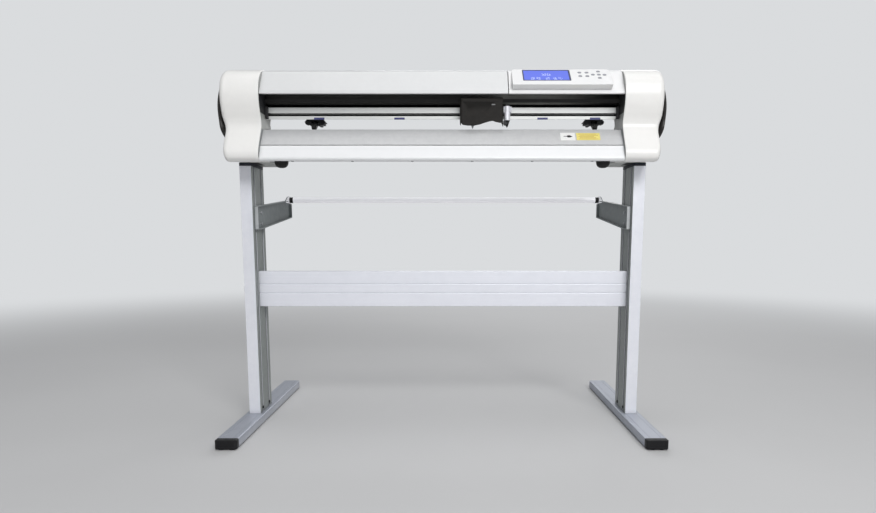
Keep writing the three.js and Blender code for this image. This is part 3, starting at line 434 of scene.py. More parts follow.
def mirrored(half, middle=()):
    """A turned profile of [radius, t] from its half at negative t."""
    return half + list(middle) + [[r, -t] for r, t in half[::-1]]


def incline(y0, z0, y1, z1):
    """A sloping line: gives [y, z] at a distance up the line and a height off it."""
    length = math.hypot(y1 - y0, z1 - z0)
    up_y, up_z = (y1 - y0) / length, (z1 - z0) / length
    return lambda along, out: [y0 + up_y * along - up_z * out, z0 + up_z * along + up_y * out]


# ------------------------------------------------------------------ meshes
def metres(x, y, z):
    return Vector((x * 0.001, (y + LAYOUT_Y) * 0.001, z * 0.001))


def mesh_of(verts, faces):
    bm = bmesh.new()
    made = [bm.verts.new(metres(*v)) for v in verts]
    for face in faces:
        try:
            bm.faces.new([made[i] for i in face])
        except ValueError:
            pass  # a face given twice or with a repeated corner is left out
    bmesh.ops.recalc_face_normals(bm, faces=bm.faces)
    return bm


def rings(loops, closed_ends=True):
    """A skin over loops of equally many (x, y, z)."""
    n, last = len(loops[0]), len(loops) - 1
    faces = [[k * n + i, k * n + (i + 1) % n, (k + 1) * n + (i + 1) % n, (k + 1) * n + i]
             for k in range(last) for i in range(n)]
    if closed_ends:
        faces += [list(range(n)), [last * n + i for i in range(n)]]
    return mesh_of([p for loop in loops for p in loop], faces)


def swept(points, axis, a, b):
    """A profile swept along an axis: X takes [y, z], Y takes [x, z], Z takes [x, y]."""
    put = {"X": lambda p, t: (t, p[0], p[1]),
           "Y": lambda p, t: (p[0], t, p[1]),
           "Z": lambda p, t: (p[0], p[1], t)}[axis]
    return rings([[put(p, t) for p in points] for t in (a, b)])


def box(x0, x1, y0, y1, z0, z1):
    return swept(corners(y0, y1, z0, z1), "X", x0, x1)


def turned(profile, centre, axis="Z", n=48, closed_ends=True):
    """A turned piece from [radius, t] pairs along axis X or Z."""
    cx, cy, cz = centre
    loops = []
    for radius, t in profile:
        loop = []
        for i in range(n):
            angle = 2 * math.pi * i / n
            u, v = max(radius, 0.01) * math.cos(angle), max(radius, 0.01) * math.sin(angle)
            loop.append((cx + u, cy + v, t) if axis == "Z" else (t, cy + u, cz + v))
        loops.append(loop)
    return rings(loops, closed_ends)


def tilted(surface, outline, h0, h1, x=0, along=0):
    """An outline [dx, d_along] on an incline, from height h0 to h1 off it."""
    return rings([[(x + dx, *surface(along + da, h)) for dx, da in outline] for h in (h0, h1)])


def joined(shells):
    """Several closed shells in one mesh."""
    out = bmesh.new()
    for shell in shells:
        me = bpy.data.meshes.new("j")
        shell.to_mesh(me)
        shell.free()
        out.from_mesh(me)
        bpy.data.meshes.remove(me)
    return out


# ------------------------------------------------------------------ objects
def new_object(name, bm, mat):
    me = bpy.data.meshes.new(name)
    bm.to_mesh(me)
    bm.free()
    o = bpy.data.objects.new(name, me)
    SCENE.collection.objects.link(o)
    me.materials.clear()
    me.materials.append(MATS[mat])
    return o


def bake(o):
    """Applies the modifiers, so that the piece is one plain mesh."""
    depsgraph = bpy.context.evaluated_depsgraph_get()
    me = bpy.data.meshes.new_from_object(o.evaluated_get(depsgraph))
    old = o.data
    o.modifiers.clear()
    o.data = me
    me.name = o.name
    bpy.data.meshes.remove(old)


def combine(o, tool, op):
    """Boolean with another object, which is used up; the result has one material slot."""
    m = o.modifiers.new("b", "BOOLEAN")
    m.operation = op
    m.solver = "EXACT"
    m.object = tool
    bake(o)
    me = tool.data
    bpy.data.objects.remove(tool)
    bpy.data.meshes.remove(me)
    mats = o.data.materials
    while len(mats) > 1:
        mats.pop()
    for p in o.data.polygons:
        p.material_index = 0


def boolean(o, bm, op="DIFFERENCE"):
    combine(o, new_object("tool", bm, "black_plastic"), op)


def shade_smooth(o):
    for p in o.data.polygons:
        p.use_smooth = True


def soften(o, width=0.6, segments=2, angle=32):
    """Rounds edges sharper than the angle (degrees) and shades the piece smoothly."""
    shade_smooth(o)
    if width:
        bevel = o.modifiers.new("bevel", "BEVEL")
        bevel.width = width * 0.001
        bevel.segments = segments
        bevel.limit_method = "ANGLE"
        bevel.angle_limit = math.radians(angle)
        bevel.use_clamp_overlap = True
        bevel.miter_outer = "MITER_ARC"
    normals = o.modifiers.new("normals", "WEIGHTED_NORMAL")
    normals.keep_sharp = True
    normals.weight = 60
    return o


def place(o, slot, *nodes, body="machine"):
    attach(o, body)
    if nodes:
        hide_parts(*nodes)


def prism(name, points, axis, a, b, mat, width=0.6, segments=2, angle=32):
    return soften(new_object(name, swept(points, axis, a, b), mat), width, segments, angle)


def lathe(name, profile, centre, mat, axis="Z", n=48, width=0.3, segments=2, angle=32,
          closed_ends=True):
    bm = turned(profile, centre, axis, n, closed_ends)
    return soften(new_object(name, bm, mat), width, segments, angle)


def plain_copy(node, mat):
    """A copy of a CAD node with its flat facets joined."""
    bm = bmesh.new()
    bm.from_mesh(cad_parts[node].data)
    bmesh.ops.remove_doubles(bm, verts=bm.verts, dist=1e-6)
    bmesh.ops.dissolve_limit(bm, angle_limit=math.radians(1.0), verts=bm.verts, edges=bm.edges)
    return new_object(node + "_skin", bm, mat)


def cad_copy(node, mat, width=0.4, segments=2, angle=35):
    return soften(plain_copy(node, mat), width, segments, angle)


def screw(name, at, axis, radius, height, spin, mat="screw_steel", slot="frame_metal"):
    """A pan-head screw; the axis points out of the surface."""
    n = 28
    # share of the radius, height
    head = ((0.98, -0.4), (1.0, 0.0), (1.0, height * 0.35), (0.93, height * 0.68),
            (0.74, height * 0.9), (0.4, height))
    bm = bmesh.new()
    loops = []
    for share, t in head:
        r = radius * share
        angles = [2 * math.pi * i / n for i in range(n)]
        loops.append([bm.verts.new((r * math.cos(a), r * math.sin(a), t)) for a in angles])
    for low, high in zip(loops, loops[1:]):
        for i in range(n):
            bm.faces.new([low[i], low[(i + 1) % n], high[(i + 1) % n], high[i]])
    bm.faces.new(loops[-1])
    bm.faces.new(loops[0][::-1])
    o = new_object(name, bm, mat)
    turn = Vector(axis).normalized().to_track_quat("Z", "Y").to_matrix().to_4x4()
    o.data.transform(Matrix.Translation(metres(*at)) @ turn @ Matrix.Rotation(spin, 4, "Z")
                     @ Matrix.Scale(0.001, 4))
    place(soften(o, 0.12, 1, 40), slot)


# ------------------------------------------------------------------ stand: uprights and feet
RIBS_AND_TRACKS = ((9,), (17, 27), (38,), (50,), (62,), (73, 83), (92,))  # Y of rib or track


def upright_flank(x, way):
    """One side of the extrusion from front to back: fine grooves and undercut tracks."""
    points = []
    for item in RIBS_AND_TRACKS:
        if len(item) == 1:
            y = item[0]
            groove = x - way * 0.5
            points += [[x, y - 0.7], [groove, y - 0.3], [groove, y + 0.3], [x, y + 0.7]]
        else:
            a, b = item
            lip, floor = x - way * 1.2, x - way * 3.1
            points += [[x, a], [lip, a + 0.4], [lip, a - 1.6], [floor, a - 1.6],
                       [floor, b + 1.6], [lip, b + 1.6], [lip, b - 0.4], [x, b]]
    return points


def upright(side, cx):
    left, right = cx - UP_W / 2, cx + UP_W / 2
    outline = [[left, 0], [right, 0]] + upright_flank(right, 1)
    outline += [[right, UP_D], [left, UP_D]] + upright_flank(left, -1)[::-1]
    o = prism(f"upright_{side}_skin", outline, "Z", FOOT_Z1 + 0.02, UP_TOP - 0.02,
              "upright_aluminium", 0.9, 3, 40)
    place(o, "upright_aluminium", "upright_" + side)


def foot(side, cx):
    """Closed flat tube with rounded rear corners and two fine grooves on top."""
    half = FOOT_W / 2
    tube = swept(rect(cx - half, cx + half, FOOT_Z0, FOOT_Z1, 3.2, 6), "Y",
                 TUBE_FRONT + 0.05, FOOT_BACK)
    o = new_object(f"foot_{side}_skin", tube, "foot_aluminium")
    plan = [[cx - 40, TUBE_FRONT - 5], [cx + 40, TUBE_FRONT - 5],
            [cx + half, FOOT_BACK, 10], [cx - half, FOOT_BACK, 10]]
    boolean(o, swept(filleted(plan), "Z", -2, 32), "INTERSECT")
    for dx in (-13, 13):
        x = cx + dx
        groove = [[x - 0.7, FOOT_Z1 + 1], [x - 0.35, FOOT_Z1 - 0.45],
                  [x + 0.35, FOOT_Z1 - 0.45], [x + 0.7, FOOT_Z1 + 1]]
        boolean(o, swept(groove, "Y", TUBE_FRONT - 2, FOOT_BACK - 12))
    place(soften(o, 0.5, 2, 40), "foot_aluminium", "foot_" + side)
    o = lathe("foot_glide_" + side, [[9.4, 0.0], [11, 0.8], [11, 2.4], [9, 2.9]],
              (cx, FOOT_BACK - 26, 0), "rubber", n=40)
    place(o, "rubber")


def foot_cap(side, cx):
    """Front cap with a shallow recess in its face, and two pads under it."""
    half = FOOT_W / 2
    block = swept(rect(cx - half, cx + half, FOOT_Z0, FOOT_Z1, 3.4, 6), "Y",
                  FOOT_FRONT, TUBE_FRONT - 0.35)
    o = new_object(f"foot_cap_{side}_skin", block, "black_plastic")
    plan = [[cx - half, FOOT_FRONT, 6], [cx + half, FOOT_FRONT, 6],
            [cx + half, TUBE_FRONT + 2], [cx - half, TUBE_FRONT + 2]]
    boolean(o, swept(filleted(plan), "Z", -2, 32), "INTERSECT")
    boolean(o, swept(rect(cx - 20, cx + 20, FOOT_Z0 + 5, FOOT_Z1 - 5, 3, 5), "Y",
                     FOOT_FRONT - 2, FOOT_FRONT + 0.9))
    place(soften(o, 1.0, 3, 35), "black_plastic", "foot_cap_" + side)
    for letter, dx in (("a", -12), ("b", 12)):
        o = lathe(f"foot_pad_{side}_{letter}", [[5.6, 0.0], [7, 0.7], [7, 2.6], [5, 2.9]],
                  (cx + dx, FOOT_FRONT + 8.4, 0), "rubber", n=32)
        place(o, "rubber")


def mount_plate(side, cx):
    """Block on top of the upright."""
    o = prism(f"mount_plate_{side}_skin", rect(cx - 15.6, cx + 15.6, -1, 101, 3.2), "Z",
              UP_TOP + 0.02, SEAT - 0.02, "navy_steel", 0.8, 2)
    place(o, "black_steel", "mount_plate_" + side)


# ------------------------------------------------------------------ stand: media arms and bar
# [y, z, corner radius]
ARM_WEB = [[14, 515, 2], [40, 515.8, 12], [351, 556.3, 6], [351, 600], [312, 606.5, 20],
           [285, 604.5, 30], [14, 575, 2]]
ARM_LOW_EDGE = [[14, 515], [40, 515.8, 12], [349, 556]]
ARM_HIGH_EDGE = [[312, 606.5], [285, 604.5, 30], [14, 575]]
EAR = filleted([[308, 600], [308, 606], [330, 618.5, 16], [342, 621.5, 10], [373, 621.5, 10],
                [373, 600, 5], [351, 594]], True, 10)
# [radius, distance from the middle], from the bore round the flange and back
BUSH = [[5.35, 476.6], [8.3, 476.6], [8.9, 477.2], [8.9, INNER - 3.8], [8.3, INNER - 3.25],
        [8.0, INNER - 3.1], [8.0, INNER + 0.6], [5.35, INNER + 0.6], [5.35, 476.6]]
# [radius, x]: end knob, neck, then the tube
BAR_HALF = [[0.5, -498.6], [6, -498.2], [9.0, -496], [10, -493.5], [10, -491.9], [5, -491.6],
            [5, -476.0], [7.9, -475.9], [8.5, -475.2], [8.5, -300]]


def bar_hole():
    return turned([[8.3, -600], [8.3, 600]], (0, BAR_Y, BAR_Z), "X")


def media_arm(side, sign):
    """Channel with flanges all round and a raised ear with a hole for the bar."""
    web = span(sign, INNER - 3, INNER)
    flange = span(sign, INNER - 10, INNER - 1)
    o = new_object(f"media_arm_{side}_skin", swept(filleted(ARM_WEB), "X", *web), "grey_steel")
    boolean(o, swept(EAR, "X", *web), "UNION")
    for edge in (ARM_LOW_EDGE, ARM_HIGH_EDGE):
        boolean(o, swept(ribbon(filleted(edge, False), -3), "X", *flange), "UNION")
    boolean(o, box(*flange, 348, 351, 557.5, 598), "UNION")
    boolean(o, box(*flange, 14, 17, 515.5, 574.5), "UNION")
    boolean(o, bar_hole())
    place(soften(o, 0.8, 2, 35), "grey_steel", "media_arm_" + side)
    for z in (531, 560):
        screw(f"arm_screw_{side}_{z}", (sign * (INNER - 3), 62, z), (-sign, 0, 0), 4.2, 2.2,
              spin=z * 0.7)


def arm_trim(side, sign):
    """Bright strip on the arm's front flange, and a bright plate on the ear in the bar's finish,
    whose faint glow is painted sheen.
    """
    inner, outer = sign * (INNER - 9.6), sign * (INNER - 1.5)
    o = prism("arm_front_trim_" + side, corners(inner, outer, 516.4, 573.6), "Y", 13.6, 13.97,
              "arm_bright", 0.12, 1)
    place(o, "grey_steel")
    plate = swept(offset_path(EAR, 0.8, True), "X", *span(sign, INNER - 3.5, INNER - 3.02))
    # the ear plate takes the bar's finish, with its faint painted glow
    o = new_object("arm_hook_" + side, plate, "bar_metal")
    boolean(o, box(*span(sign, INNER - 5, INNER - 1), 300, 380, 580, 601))
    boolean(o, bar_hole())
    place(soften(o, 0.2, 2, 35), "bar_metal")


def bar_bush(side, sign):
    o = lathe(f"bar_bush_{side}_skin", [[r, sign * t] for r, t in BUSH], (0, BAR_Y, BAR_Z),
              "black_plastic", "X", closed_ends=False)
    place(o, "black_plastic", "bar_bush_" + side)


def cross_beam():
    """Beam with two drawn grooves in its front face and small chamfers beside it."""
    outline = [[31.0, 311], [54, 311], [54, 405], [31.0, 405], [30, 404]]
    for z in (371.5, 347.5):
        outline += [[30, z + 1.6], [31.3, z + 0.9], [31.3, z - 0.9], [30, z - 1.6]]
    outline += [[30, 312]]
    o = prism("cross_beam_skin", outline, "X", -INNER + 0.02, INNER - 0.02,
              "crossbeam_aluminium", 0.5, 2, 25)
    place(o, "upright_aluminium", "cross_beam")


def stand():
    for side, sign in SIDES:
        cx = sign * UP_X
        upright(side, cx)
        foot(side, cx)
        foot_cap(side, cx)
        mount_plate(side, cx)
        for y in (22, 78):
            screw(f"upright_screw_{side}_{y}", (sign * INNER, y, 36), (-sign, 0, 0), 4.2, 2.4,
                  spin=0.3 * y, mat="screw_black", slot="black_steel")
        media_arm(side, sign)
        arm_trim(side, sign)
        bar_bush(side, sign)
    cross_beam()
    for side, sign in SIDES:
        for z in (332, 384):
            screw(f"cross_screw_{side}_{z}", (sign * (INNER - 12), 54, z), (0, 1, 0), 4.4, 2.6,
                  spin=z)
            screw(f"cross_side_screw_{side}_{z}", (sign * OUTER, 42, z), (sign, 0, 0), 5.0, 2.8,
                  spin=z)
        for y in (26, 74):
            screw(f"top_screw_{side}_{y}", (sign * OUTER, y, 652), (sign, 0, 0), 4.4, 2.6,
                  spin=y)
    o = lathe("media_bar_skin", mirrored(BAR_HALF, [[8.5, 0]]), (0, BAR_Y, BAR_Z), "bar_metal",
              "X", angle=50)
    place(o, "bar_metal", "media_bar", body="media_bar")


# ------------------------------------------------------------------ end covers
# side outline as [y, z]: front from top to bottom, underside, rear from bottom to top
CAP_FRONT = [[-22, TOP], [-50, 894], [-71, 872], [-79, 845], [-77.5, 818], [-71, 797],
             [-64, 779], [-63, 763], [-74, 742], [-89, 716], [-97, 698], [-94.5, 684], [-83, 676]]
CAP_UNDER = [[-70, 676.8], [-48, 681.5], [-3, SEAT]]
CAP_REAR = [[105, SEAT], [119, 691], [125, 706], [120, 728], [98, 744], [58, 754], [30, 762],
            [17, 779], [28, 797], [58, 809], [92, 816], [116, 832], [125, 860], [116, 890],
            [92, TOP]]
CAP_CENTRE = (26, 812)
CAP_OUT = 536
INSERT_MID = (-8, 806)
# the insert's edge stays inside the first ellipse, and inside the second shrunk by sqrt(0.5);
# the second also shapes its crown: (centre y, centre z, half width, half height)
EDGE_ELLIPSE = (26, 820, 112, 84)
CROWN_ELLIPSE = (5, 798, 126, 116)
# (share of the edge radius, drop below the crown), from the cover's face to the middle
INSERT_STEPS = (
    (1.0, None), (1.0, 0.9), (0.992, 0.25), (0.975, 0.0), (0.935, 0.0), (0.925, 0.9),
    (0.905, 0.9), (0.895, 0.0), (0.8, 0.0), (0.65, 0.0), (0.5, 0.0), (0.35, 0.0), (0.2, 0.0),
    (0.06, 0.0))


def cap_outline():
    points = catmull(CAP_FRONT, 96) + CAP_UNDER + catmull(CAP_REAR, 96)
    out = []
    for i, p in enumerate(points):
        out.append(p)
        q = points[(i + 1) % len(points)]
        # long flat runs are split into pieces of at most 12
        extra = int(math.hypot(q[0] - p[0], q[1] - p[1]) // 12)
        for j in range(1, extra + 1):
            share = extra + 1
            out.append([p[0] + (q[0] - p[0]) * j / share, p[1] + (q[1] - p[1]) * j / share])
    return out


LOOP = cap_outline()


def shrink(points, k):
    cy, cz = CAP_CENTRE
    return [[cy + (p[0] - cy) * k, cz + (p[1] - cz) * k] for p in points]


def taper(z):
    """The lower lobe of the cover is narrower along X than the upper one."""
    t = max(0.0, min(1.0, (792 - z) / 46))
    return 1 - 0.1 * t * t * (3 - 2 * t)


def dome(start, outline, share):
    """A section of the rounded outer end; share 0 is its start, 1 its outermost."""
    angle = share * math.pi / 2
    return start + 14 * math.sin(angle), shrink(outline, 1 - 0.1 * (1 - math.cos(angle)))


def end_cap(side, sign):
    inner = offset_path(LOOP, -3.2, True)
    sections = [dome(522, LOOP, k / 16) for k in range(16, -1, -1)]
    sections += [(x, LOOP) for x in (500, 480, 460, 446, 441.8)]
    # rounded rim at the inner end
    for x, distance in ((440.9, -0.4), (440.42, -1.2), (440.42, -2.6)):
        sections.append((x, offset_path(LOOP, distance, True)))
    sections += [(x, inner) for x in (441.2, 470, 500, 518)]
    sections += [dome(518, inner, k / 8) for k in range(1, 9)]
    bm = rings([[(sign * x, y, z) for y, z in outline] for x, outline in sections])
    for z in range(744, 797, 4):  # extra edges where the taper sets in
        bmesh.ops.bisect_plane(bm, geom=bm.verts[:] + bm.edges[:] + bm.faces[:],
                               plane_co=metres(0, 0, z), plane_no=(0, 0, 1))
    for v in bm.verts:
        reach = (sign * v.co.x * 1000 - CAP_IN) * taper(v.co.z * 1000)
        v.co.x = sign * 0.001 * (CAP_IN + reach)
    o = new_object(f"end_cap_{side}_skin", bm, "white_plastic")
    # openings in the underside above the upright
    boolean(o, box(*span(sign, CAP_IN - 2, 513.5), 0, 100, 670, SEAT + 7))
    boolean(o, box(*span(sign, 513, 521.6), -2, 102, 670, SEAT + 0.4))
    shade_smooth(o)
    bevel = o.modifiers.new("bevel", "BEVEL")
    bevel.width = 0.0004
    bevel.segments = 1
    bevel.limit_method = "ANGLE"
    bevel.angle_limit = math.radians(50)
    o.modifiers.new("normals", "WEIGHTED_NORMAL").keep_sharp = True
    place(o, "white_plastic", "end_cap_" + side)


def in_ellipse(y, z, ellipse):
    """Below 1 inside, above 1 outside."""
    cy, cz, half_y, half_z = ellipse
    return ((y - cy) / half_y) ** 2 + ((z - cz) / half_z) ** 2


def insert_reach(outline, angle):
    """Distance from the insert's middle to its edge in one direction."""
    mid_y, mid_z = INSERT_MID
    dy, dz = math.cos(angle), math.sin(angle)
    best = 400.0
    for (ay, az), (by, bz) in zip(outline, outline[1:] + outline[:1]):
        ey, ez = by - ay, bz - az
        det = dy * ez - dz * ey
        if abs(det) < 1e-9:
            continue
        t = ((ay - mid_y) * ez - (az - mid_z) * ey) / det
        u = ((ay - mid_y) * dz - (az - mid_z) * dy) / det
        if t > 0 and 0 <= u <= 1:
            best = min(best, t)
    # pulled in to the ellipses by halving
    lo, hi = 0.0, best
    for _ in range(30):
        t = (lo + hi) / 2
        y, z = mid_y + dy * t, mid_z + dz * t
        if in_ellipse(y, z, EDGE_ELLIPSE) > 1 or in_ellipse(y, z, CROWN_ELLIPSE) > 0.5:
            hi = t
        else:
            lo = t
    return lo if hi < best - 1e-3 else best


def side_insert(side, sign):
    """Shallow dark insert: a stepped rim, then a low crown."""
    n = 120
    outline = shrink(LOOP, 0.84)
    raw = [insert_reach(outline, 2 * math.pi * i / n) for i in range(n)]
    # smoothed; each weight's neighbours to the left are smoothed already
    edge = [(raw[i - 2] + 2 * raw[i - 1] + 3 * raw[i] + 2 * raw[(i + 1) % n]
             + raw[(i + 2) % n]) / 9 for i in range(n)]
    loops = []
    for share, drop in INSERT_STEPS:
        loop = []
        for i in range(n):
            angle = 2 * math.pi * i / n
            y = INSERT_MID[0] + edge[i] * share * math.cos(angle)
            z = INSERT_MID[1] + edge[i] * share * math.sin(angle)
            if drop is None:
                x = CAP_IN + (CAP_OUT - CAP_IN) * taper(z) + 0.4
            else:
                crown = 500 + 54 * math.sqrt(max(1 - in_ellipse(y, z, CROWN_ELLIPSE), 0.3))
                x = max(crown - drop, CAP_OUT + 0.6)
            loop.append((sign * x, y, z))
        loops.append(loop)
    o = soften(new_object(f"side_insert_{side}_skin", rings(loops), "dark_plastic"), 0)
    place(o, "dark_plastic", "side_insert_" + side)


BENCH_FOOT = [[1, 666.0], [6, 666.3], [9, 667.2], [11.5, 668.6], [14, 671], [15.6, 674],
              [16.6, 678], [16.8, 681], [16.8, 683.4]]  # [radius, z]


def ends():
    for side, sign in SIDES:
        end_cap(side, sign)
        side_insert(side, sign)
        place(cad_copy("side_frame_" + side, "frame_metal", 0.5, 2, 40), "frame_metal",
              "side_frame_" + side)
        o = lathe(f"bench_foot_{side}_skin", BENCH_FOOT, (sign * 400, -40, 0), "rubber", n=56)
        place(o, "rubber", "bench_foot_" + side)
        # painted shade: thin black sheet under the frame's foot, standing in for the shade beneath
        # the cover
        o = prism("frame_shade_sheet_" + side, rect(2.5, 60, SEAT - 0.45, SEAT - 0.02, 0.1, 2), "X",
                  *span(sign, 472, 489), "black_plastic", 0.1, 1)
        place(o, "black_plastic")
        # black buffer block at the end of the rail
        o = prism("rail_buffer_" + side, rect(-31, -20.3, 787.5, 816, 1.6), "X",
                  *span(sign, 433.2, 439.8), "black_plastic", 0.7)
        place(o, "black_plastic")


# ------------------------------------------------------------------ top cover and housing
# outer line of the sheet as [y, z]: lip at the front, then over the top to the rear
COVER = [[-66.4, 837.6], [-68, 837.0], [-72.0, 837.3], [-73, 838.5], [-70.6, 845.0],
         [-69.4, 847.2]]
COVER += filleted([[-70, 846], [-40.5, 897, 14], [-18, TOP, 24], [122, TOP, 26], [122, 821]],
                  False, 12)[1:]
COVER_THICK = 2.6
FACE_LOW, FACE_HIGH = (-84, 856.2), (-34.8, 903.4)  # ends of the sloping control face
FACE_LENGTH = math.hypot(FACE_HIGH[0] - FACE_LOW[0], FACE_HIGH[1] - FACE_LOW[1])
on_face = incline(*FACE_LOW, *FACE_HIGH)
POD = (169.5, 408)
POD_OUTLINE = [[-70.2, 848.2], [-72.8, 849.0], [-82.8, 854.6], FACE_LOW, FACE_HIGH,
               [-30, 904.6], [-22, TOP - 0.4], [-10, TOP - 0.6], [-10, 880], [-50, 846]]
# centre of each key: x, distance up the face
KEYS = {
    "key_menu": (334.5, 52.5), "key_test": (351.5, 52.5),
    "key_offset": (334.5, 36.5), "key_origin": (351.5, 36.5),
    "key_arrow_left": (366, 43), "key_arrow_up": (380.5, 57.5), "key_enter": (380.5, 43),
    "key_arrow_down": (380.5, 28.5), "key_arrow_right": (394, 42.5)}
KEY_STEPS = ((0.0, -4.6), (0.0, 0.2), (-0.18, 0.62), (-0.6, 0.94), (-1.3, 1.08),
             (-2.2, 1.1))  # growth of the outline, height
LCD_X, LCD_UP = 253, 41          # middle of the display: x, distance up the face
LCD_W, LCD_H = 58, 25            # half sizes
BEZEL_W, BEZEL_H = LCD_W - 0.5, LCD_H - 0.5


def key_outline(growth, steps):
    w, h = 4.5 + growth, 3.2 + growth
    return rect(-w, w, -h, h, h * 0.97, steps)


def on_display(outline, h0, h1):
    return tilted(on_face, outline, h0, h1, LCD_X, LCD_UP)


def top_cover():
    o = prism("top_cover_skin", ribbon(COVER, COVER_THICK), "X", -BEAM_X, 159.5, "cover_metal",
              0.5, 2, 28)
    place(o, "cover_metal", "top_cover")
    for k, y in enumerate((-8, 92)):
        for x in (-420, 140):
            screw(f"cover_screw_{k}_{x}", (x, y, TOP - 0.3), (0, 0, 1), 3.2, 0.3, spin=x + y,
                  slot="cover_metal")


def control_housing():
    """Cover sheet with a hollow pod that carries the control face."""
    shell = new_object("control_housing_skin",
                       swept(ribbon(COVER, COVER_THICK), "X", 161.5, BEAM_X), "panel_plastic")
    pod = new_object("pod", swept(POD_OUTLINE, "X", *POD), "panel_plastic")
    left, right = POD
    front = [[left, 838, 7], [right, 838, 7], [right, TOP + 0.05, 9], [left, TOP + 0.05, 9]]
    boolean(pod, swept(filleted(front), "Y", -100, 20), "INTERSECT")
    bake(soften(pod, 2.4, 4, 30)) 
    combine(shell, pod, "UNION")
    hollow = [[-66, 850], on_face(6, -3), on_face(FACE_LENGTH - 3, -3), [-22, TOP - 3.4],
              [84, TOP - 3.4], [84, 850]]
    boolean(shell, swept(hollow, "X", left + 3, right - 3))
    # display recess, its opening, the keys and the switch
    boolean(shell, on_display(rect(-LCD_W, LCD_W, -LCD_H, LCD_H, 2.0), -1.9, 3))
    boolean(shell, on_display(rect(-LCD_W + 5, LCD_W - 5, -LCD_H + 4, LCD_H - 4, 1.0), -8, 3))
    for x, up in KEYS.values():
        boolean(shell, tilted(on_face, key_outline(0.35, 8), -8, 3, x, up))
    boolean(shell, box(372.6, 387.4, 112, 126, 849, 871))
    place(soften(shell, 0.35, 2, 35), "panel_plastic", "control_housing")


def display():
    outer = rect(-BEZEL_W, BEZEL_W, -BEZEL_H, BEZEL_H, 1.8)
    o = new_object("display_frame", on_display(outer, -1.75, -0.25), "lcd_bezel")
    opening = rect(-BEZEL_W + 2.4, BEZEL_W - 3.4, -BEZEL_H + 3.4, BEZEL_H - 2.2, 1.0)
    boolean(o, on_display(opening, -4, 3))
    place(soften(o, 0.3, 2, 35), "display")
    glass = rect(-LCD_W + 2.7, LCD_W - 3.7, -LCD_H + 3.7, LCD_H - 2.5, 1.0)
    o = soften(new_object("display_glass", on_display(glass, -1.7, -0.8), "lcd_blue"), 0.2, 2, 35)
    place(o, "display", "display_window")
    # two rows of symbols, each a 5 by 5 cluster of random dots
    dots = []
    draw = random.Random(11)
    for row, columns in ((4.5, (-6, 6)), (-13.5, (-34, -20, 2, 20, 33))):
        for column in columns:
            for i in range(5):
                for j in range(5):
                    if draw.random() < 0.55:
                        x, up = column + (i - 2) * 1.9, row + (j - 2) * 2.1
                        dot = corners(x - 0.8, x + 0.8, up - 0.9, up + 0.9)
                        dots.append(on_display(dot, -0.85, -0.7))
    place(new_object("display_marks", joined(dots), "lcd_pixel"), "display")


def keys():
    for name, (x, up) in KEYS.items():
        loops = [[(x + dx, *on_face(up + da, h)) for dx, da in key_outline(growth, 6)]
                 for growth, h in KEY_STEPS]
        o = soften(new_object(name + "_cap", rings(loops), "key_plastic"), 0)
        place(o, "key_plastic", name, body=name)


def power_switch():
    """Tilted rocker with a hollow face, and its bezel, in the rear wall."""
    tilt, cy, cz = math.radians(-8), 119.5, 860
    half = 9.6

    def turn(out, up):
        return [cy + out * math.cos(tilt) - up * math.sin(tilt),
                cz + out * math.sin(tilt) + up * math.cos(tilt)]

    outline = [turn(-6, -half), turn(2.6, -half)]
    outline += [turn(2.6 - 0.9 * math.sin(math.pi * k / 12), -half + 19.2 * k / 12)
                for k in range(1, 12)]
    outline += [turn(2.6, half), turn(-6, half)]
    o = prism("power_rocker", outline, "X", 373.2, 386.8, "black_plastic", 0.6, 2, 40)
    place(o, "black_plastic", "power_switch", body="power_switch")
    bezel = swept(rect(369, 391, 845.4, 874.6, 2.5), "Y", 122.05, 123.6)
    o = new_object("switch_bezel", bezel, "black_plastic")
    boolean(o, swept(rect(372.4, 387.6, 848.8, 871.2, 0.8), "Y", 118, 126))
    place(soften(o, 0.4), "black_plastic")


def mains_inlet():
    o = new_object("mains_inlet", swept(rect(318, 350, 846, 873, 3), "Y", 122.05, 124.4),
                   "black_plastic")
    socket = [[322, 849.6], [346, 849.6], [346, 864], [341, 869.6], [327, 869.6], [322, 864]]
    boolean(o, swept(socket, "Y", 122.6, 126))
    place(soften(o, 0.5), "black_plastic")
    for k, (x, z) in enumerate(((327.5, 856), (334, 859), (340.5, 856))):
        o = prism(f"inlet_blade_{k}", rect(x - 0.9, x + 0.9, z, z + 4, 0.3, 2), "Y",
                  122.5, 124.2, "screw_steel", 0.15, 1)
        place(o, "frame_metal")


# ------------------------------------------------------------------ beam, rail and guard
# profiles as [y, z]
BEAM = [[-20, 787.4], [-19.6, 787], [-14, 788.2], [5, 792], [5, 799], [17, 799], [17, 794.4],
        [60, 804.5], [112, 817], [119, 817], [119, 824], [-12, 824], [-12, 795.2],
        [-19.4, 795.2], [-20, 794.6]]
RAIL = [[-20, 802.6], [-19.5, 802.1], [-12, 801.6], [-12, 816], [-19.6, 816], [-20, 815.6]]
GUARD = [[-20, 824], [-6, 824], [-6, 826], [-18, 826], [-18, 862], [-20, 862], [-20, 849],
         [-19.3, 848.4], [-19.3, 845], [-20, 844.4], [-20, 836], [-19.3, 835.4], [-19.3, 832],
         [-20, 831.4]]
# part of the cover's outline that lines the end of the recess in front of the beam
RECESS = [[-120, 795.5], [-11.8, 795.5], [-11.8, 878], [-49, 878], [-69.6, 841],
          [-71.5, 837.6], [-120, 837.6]]


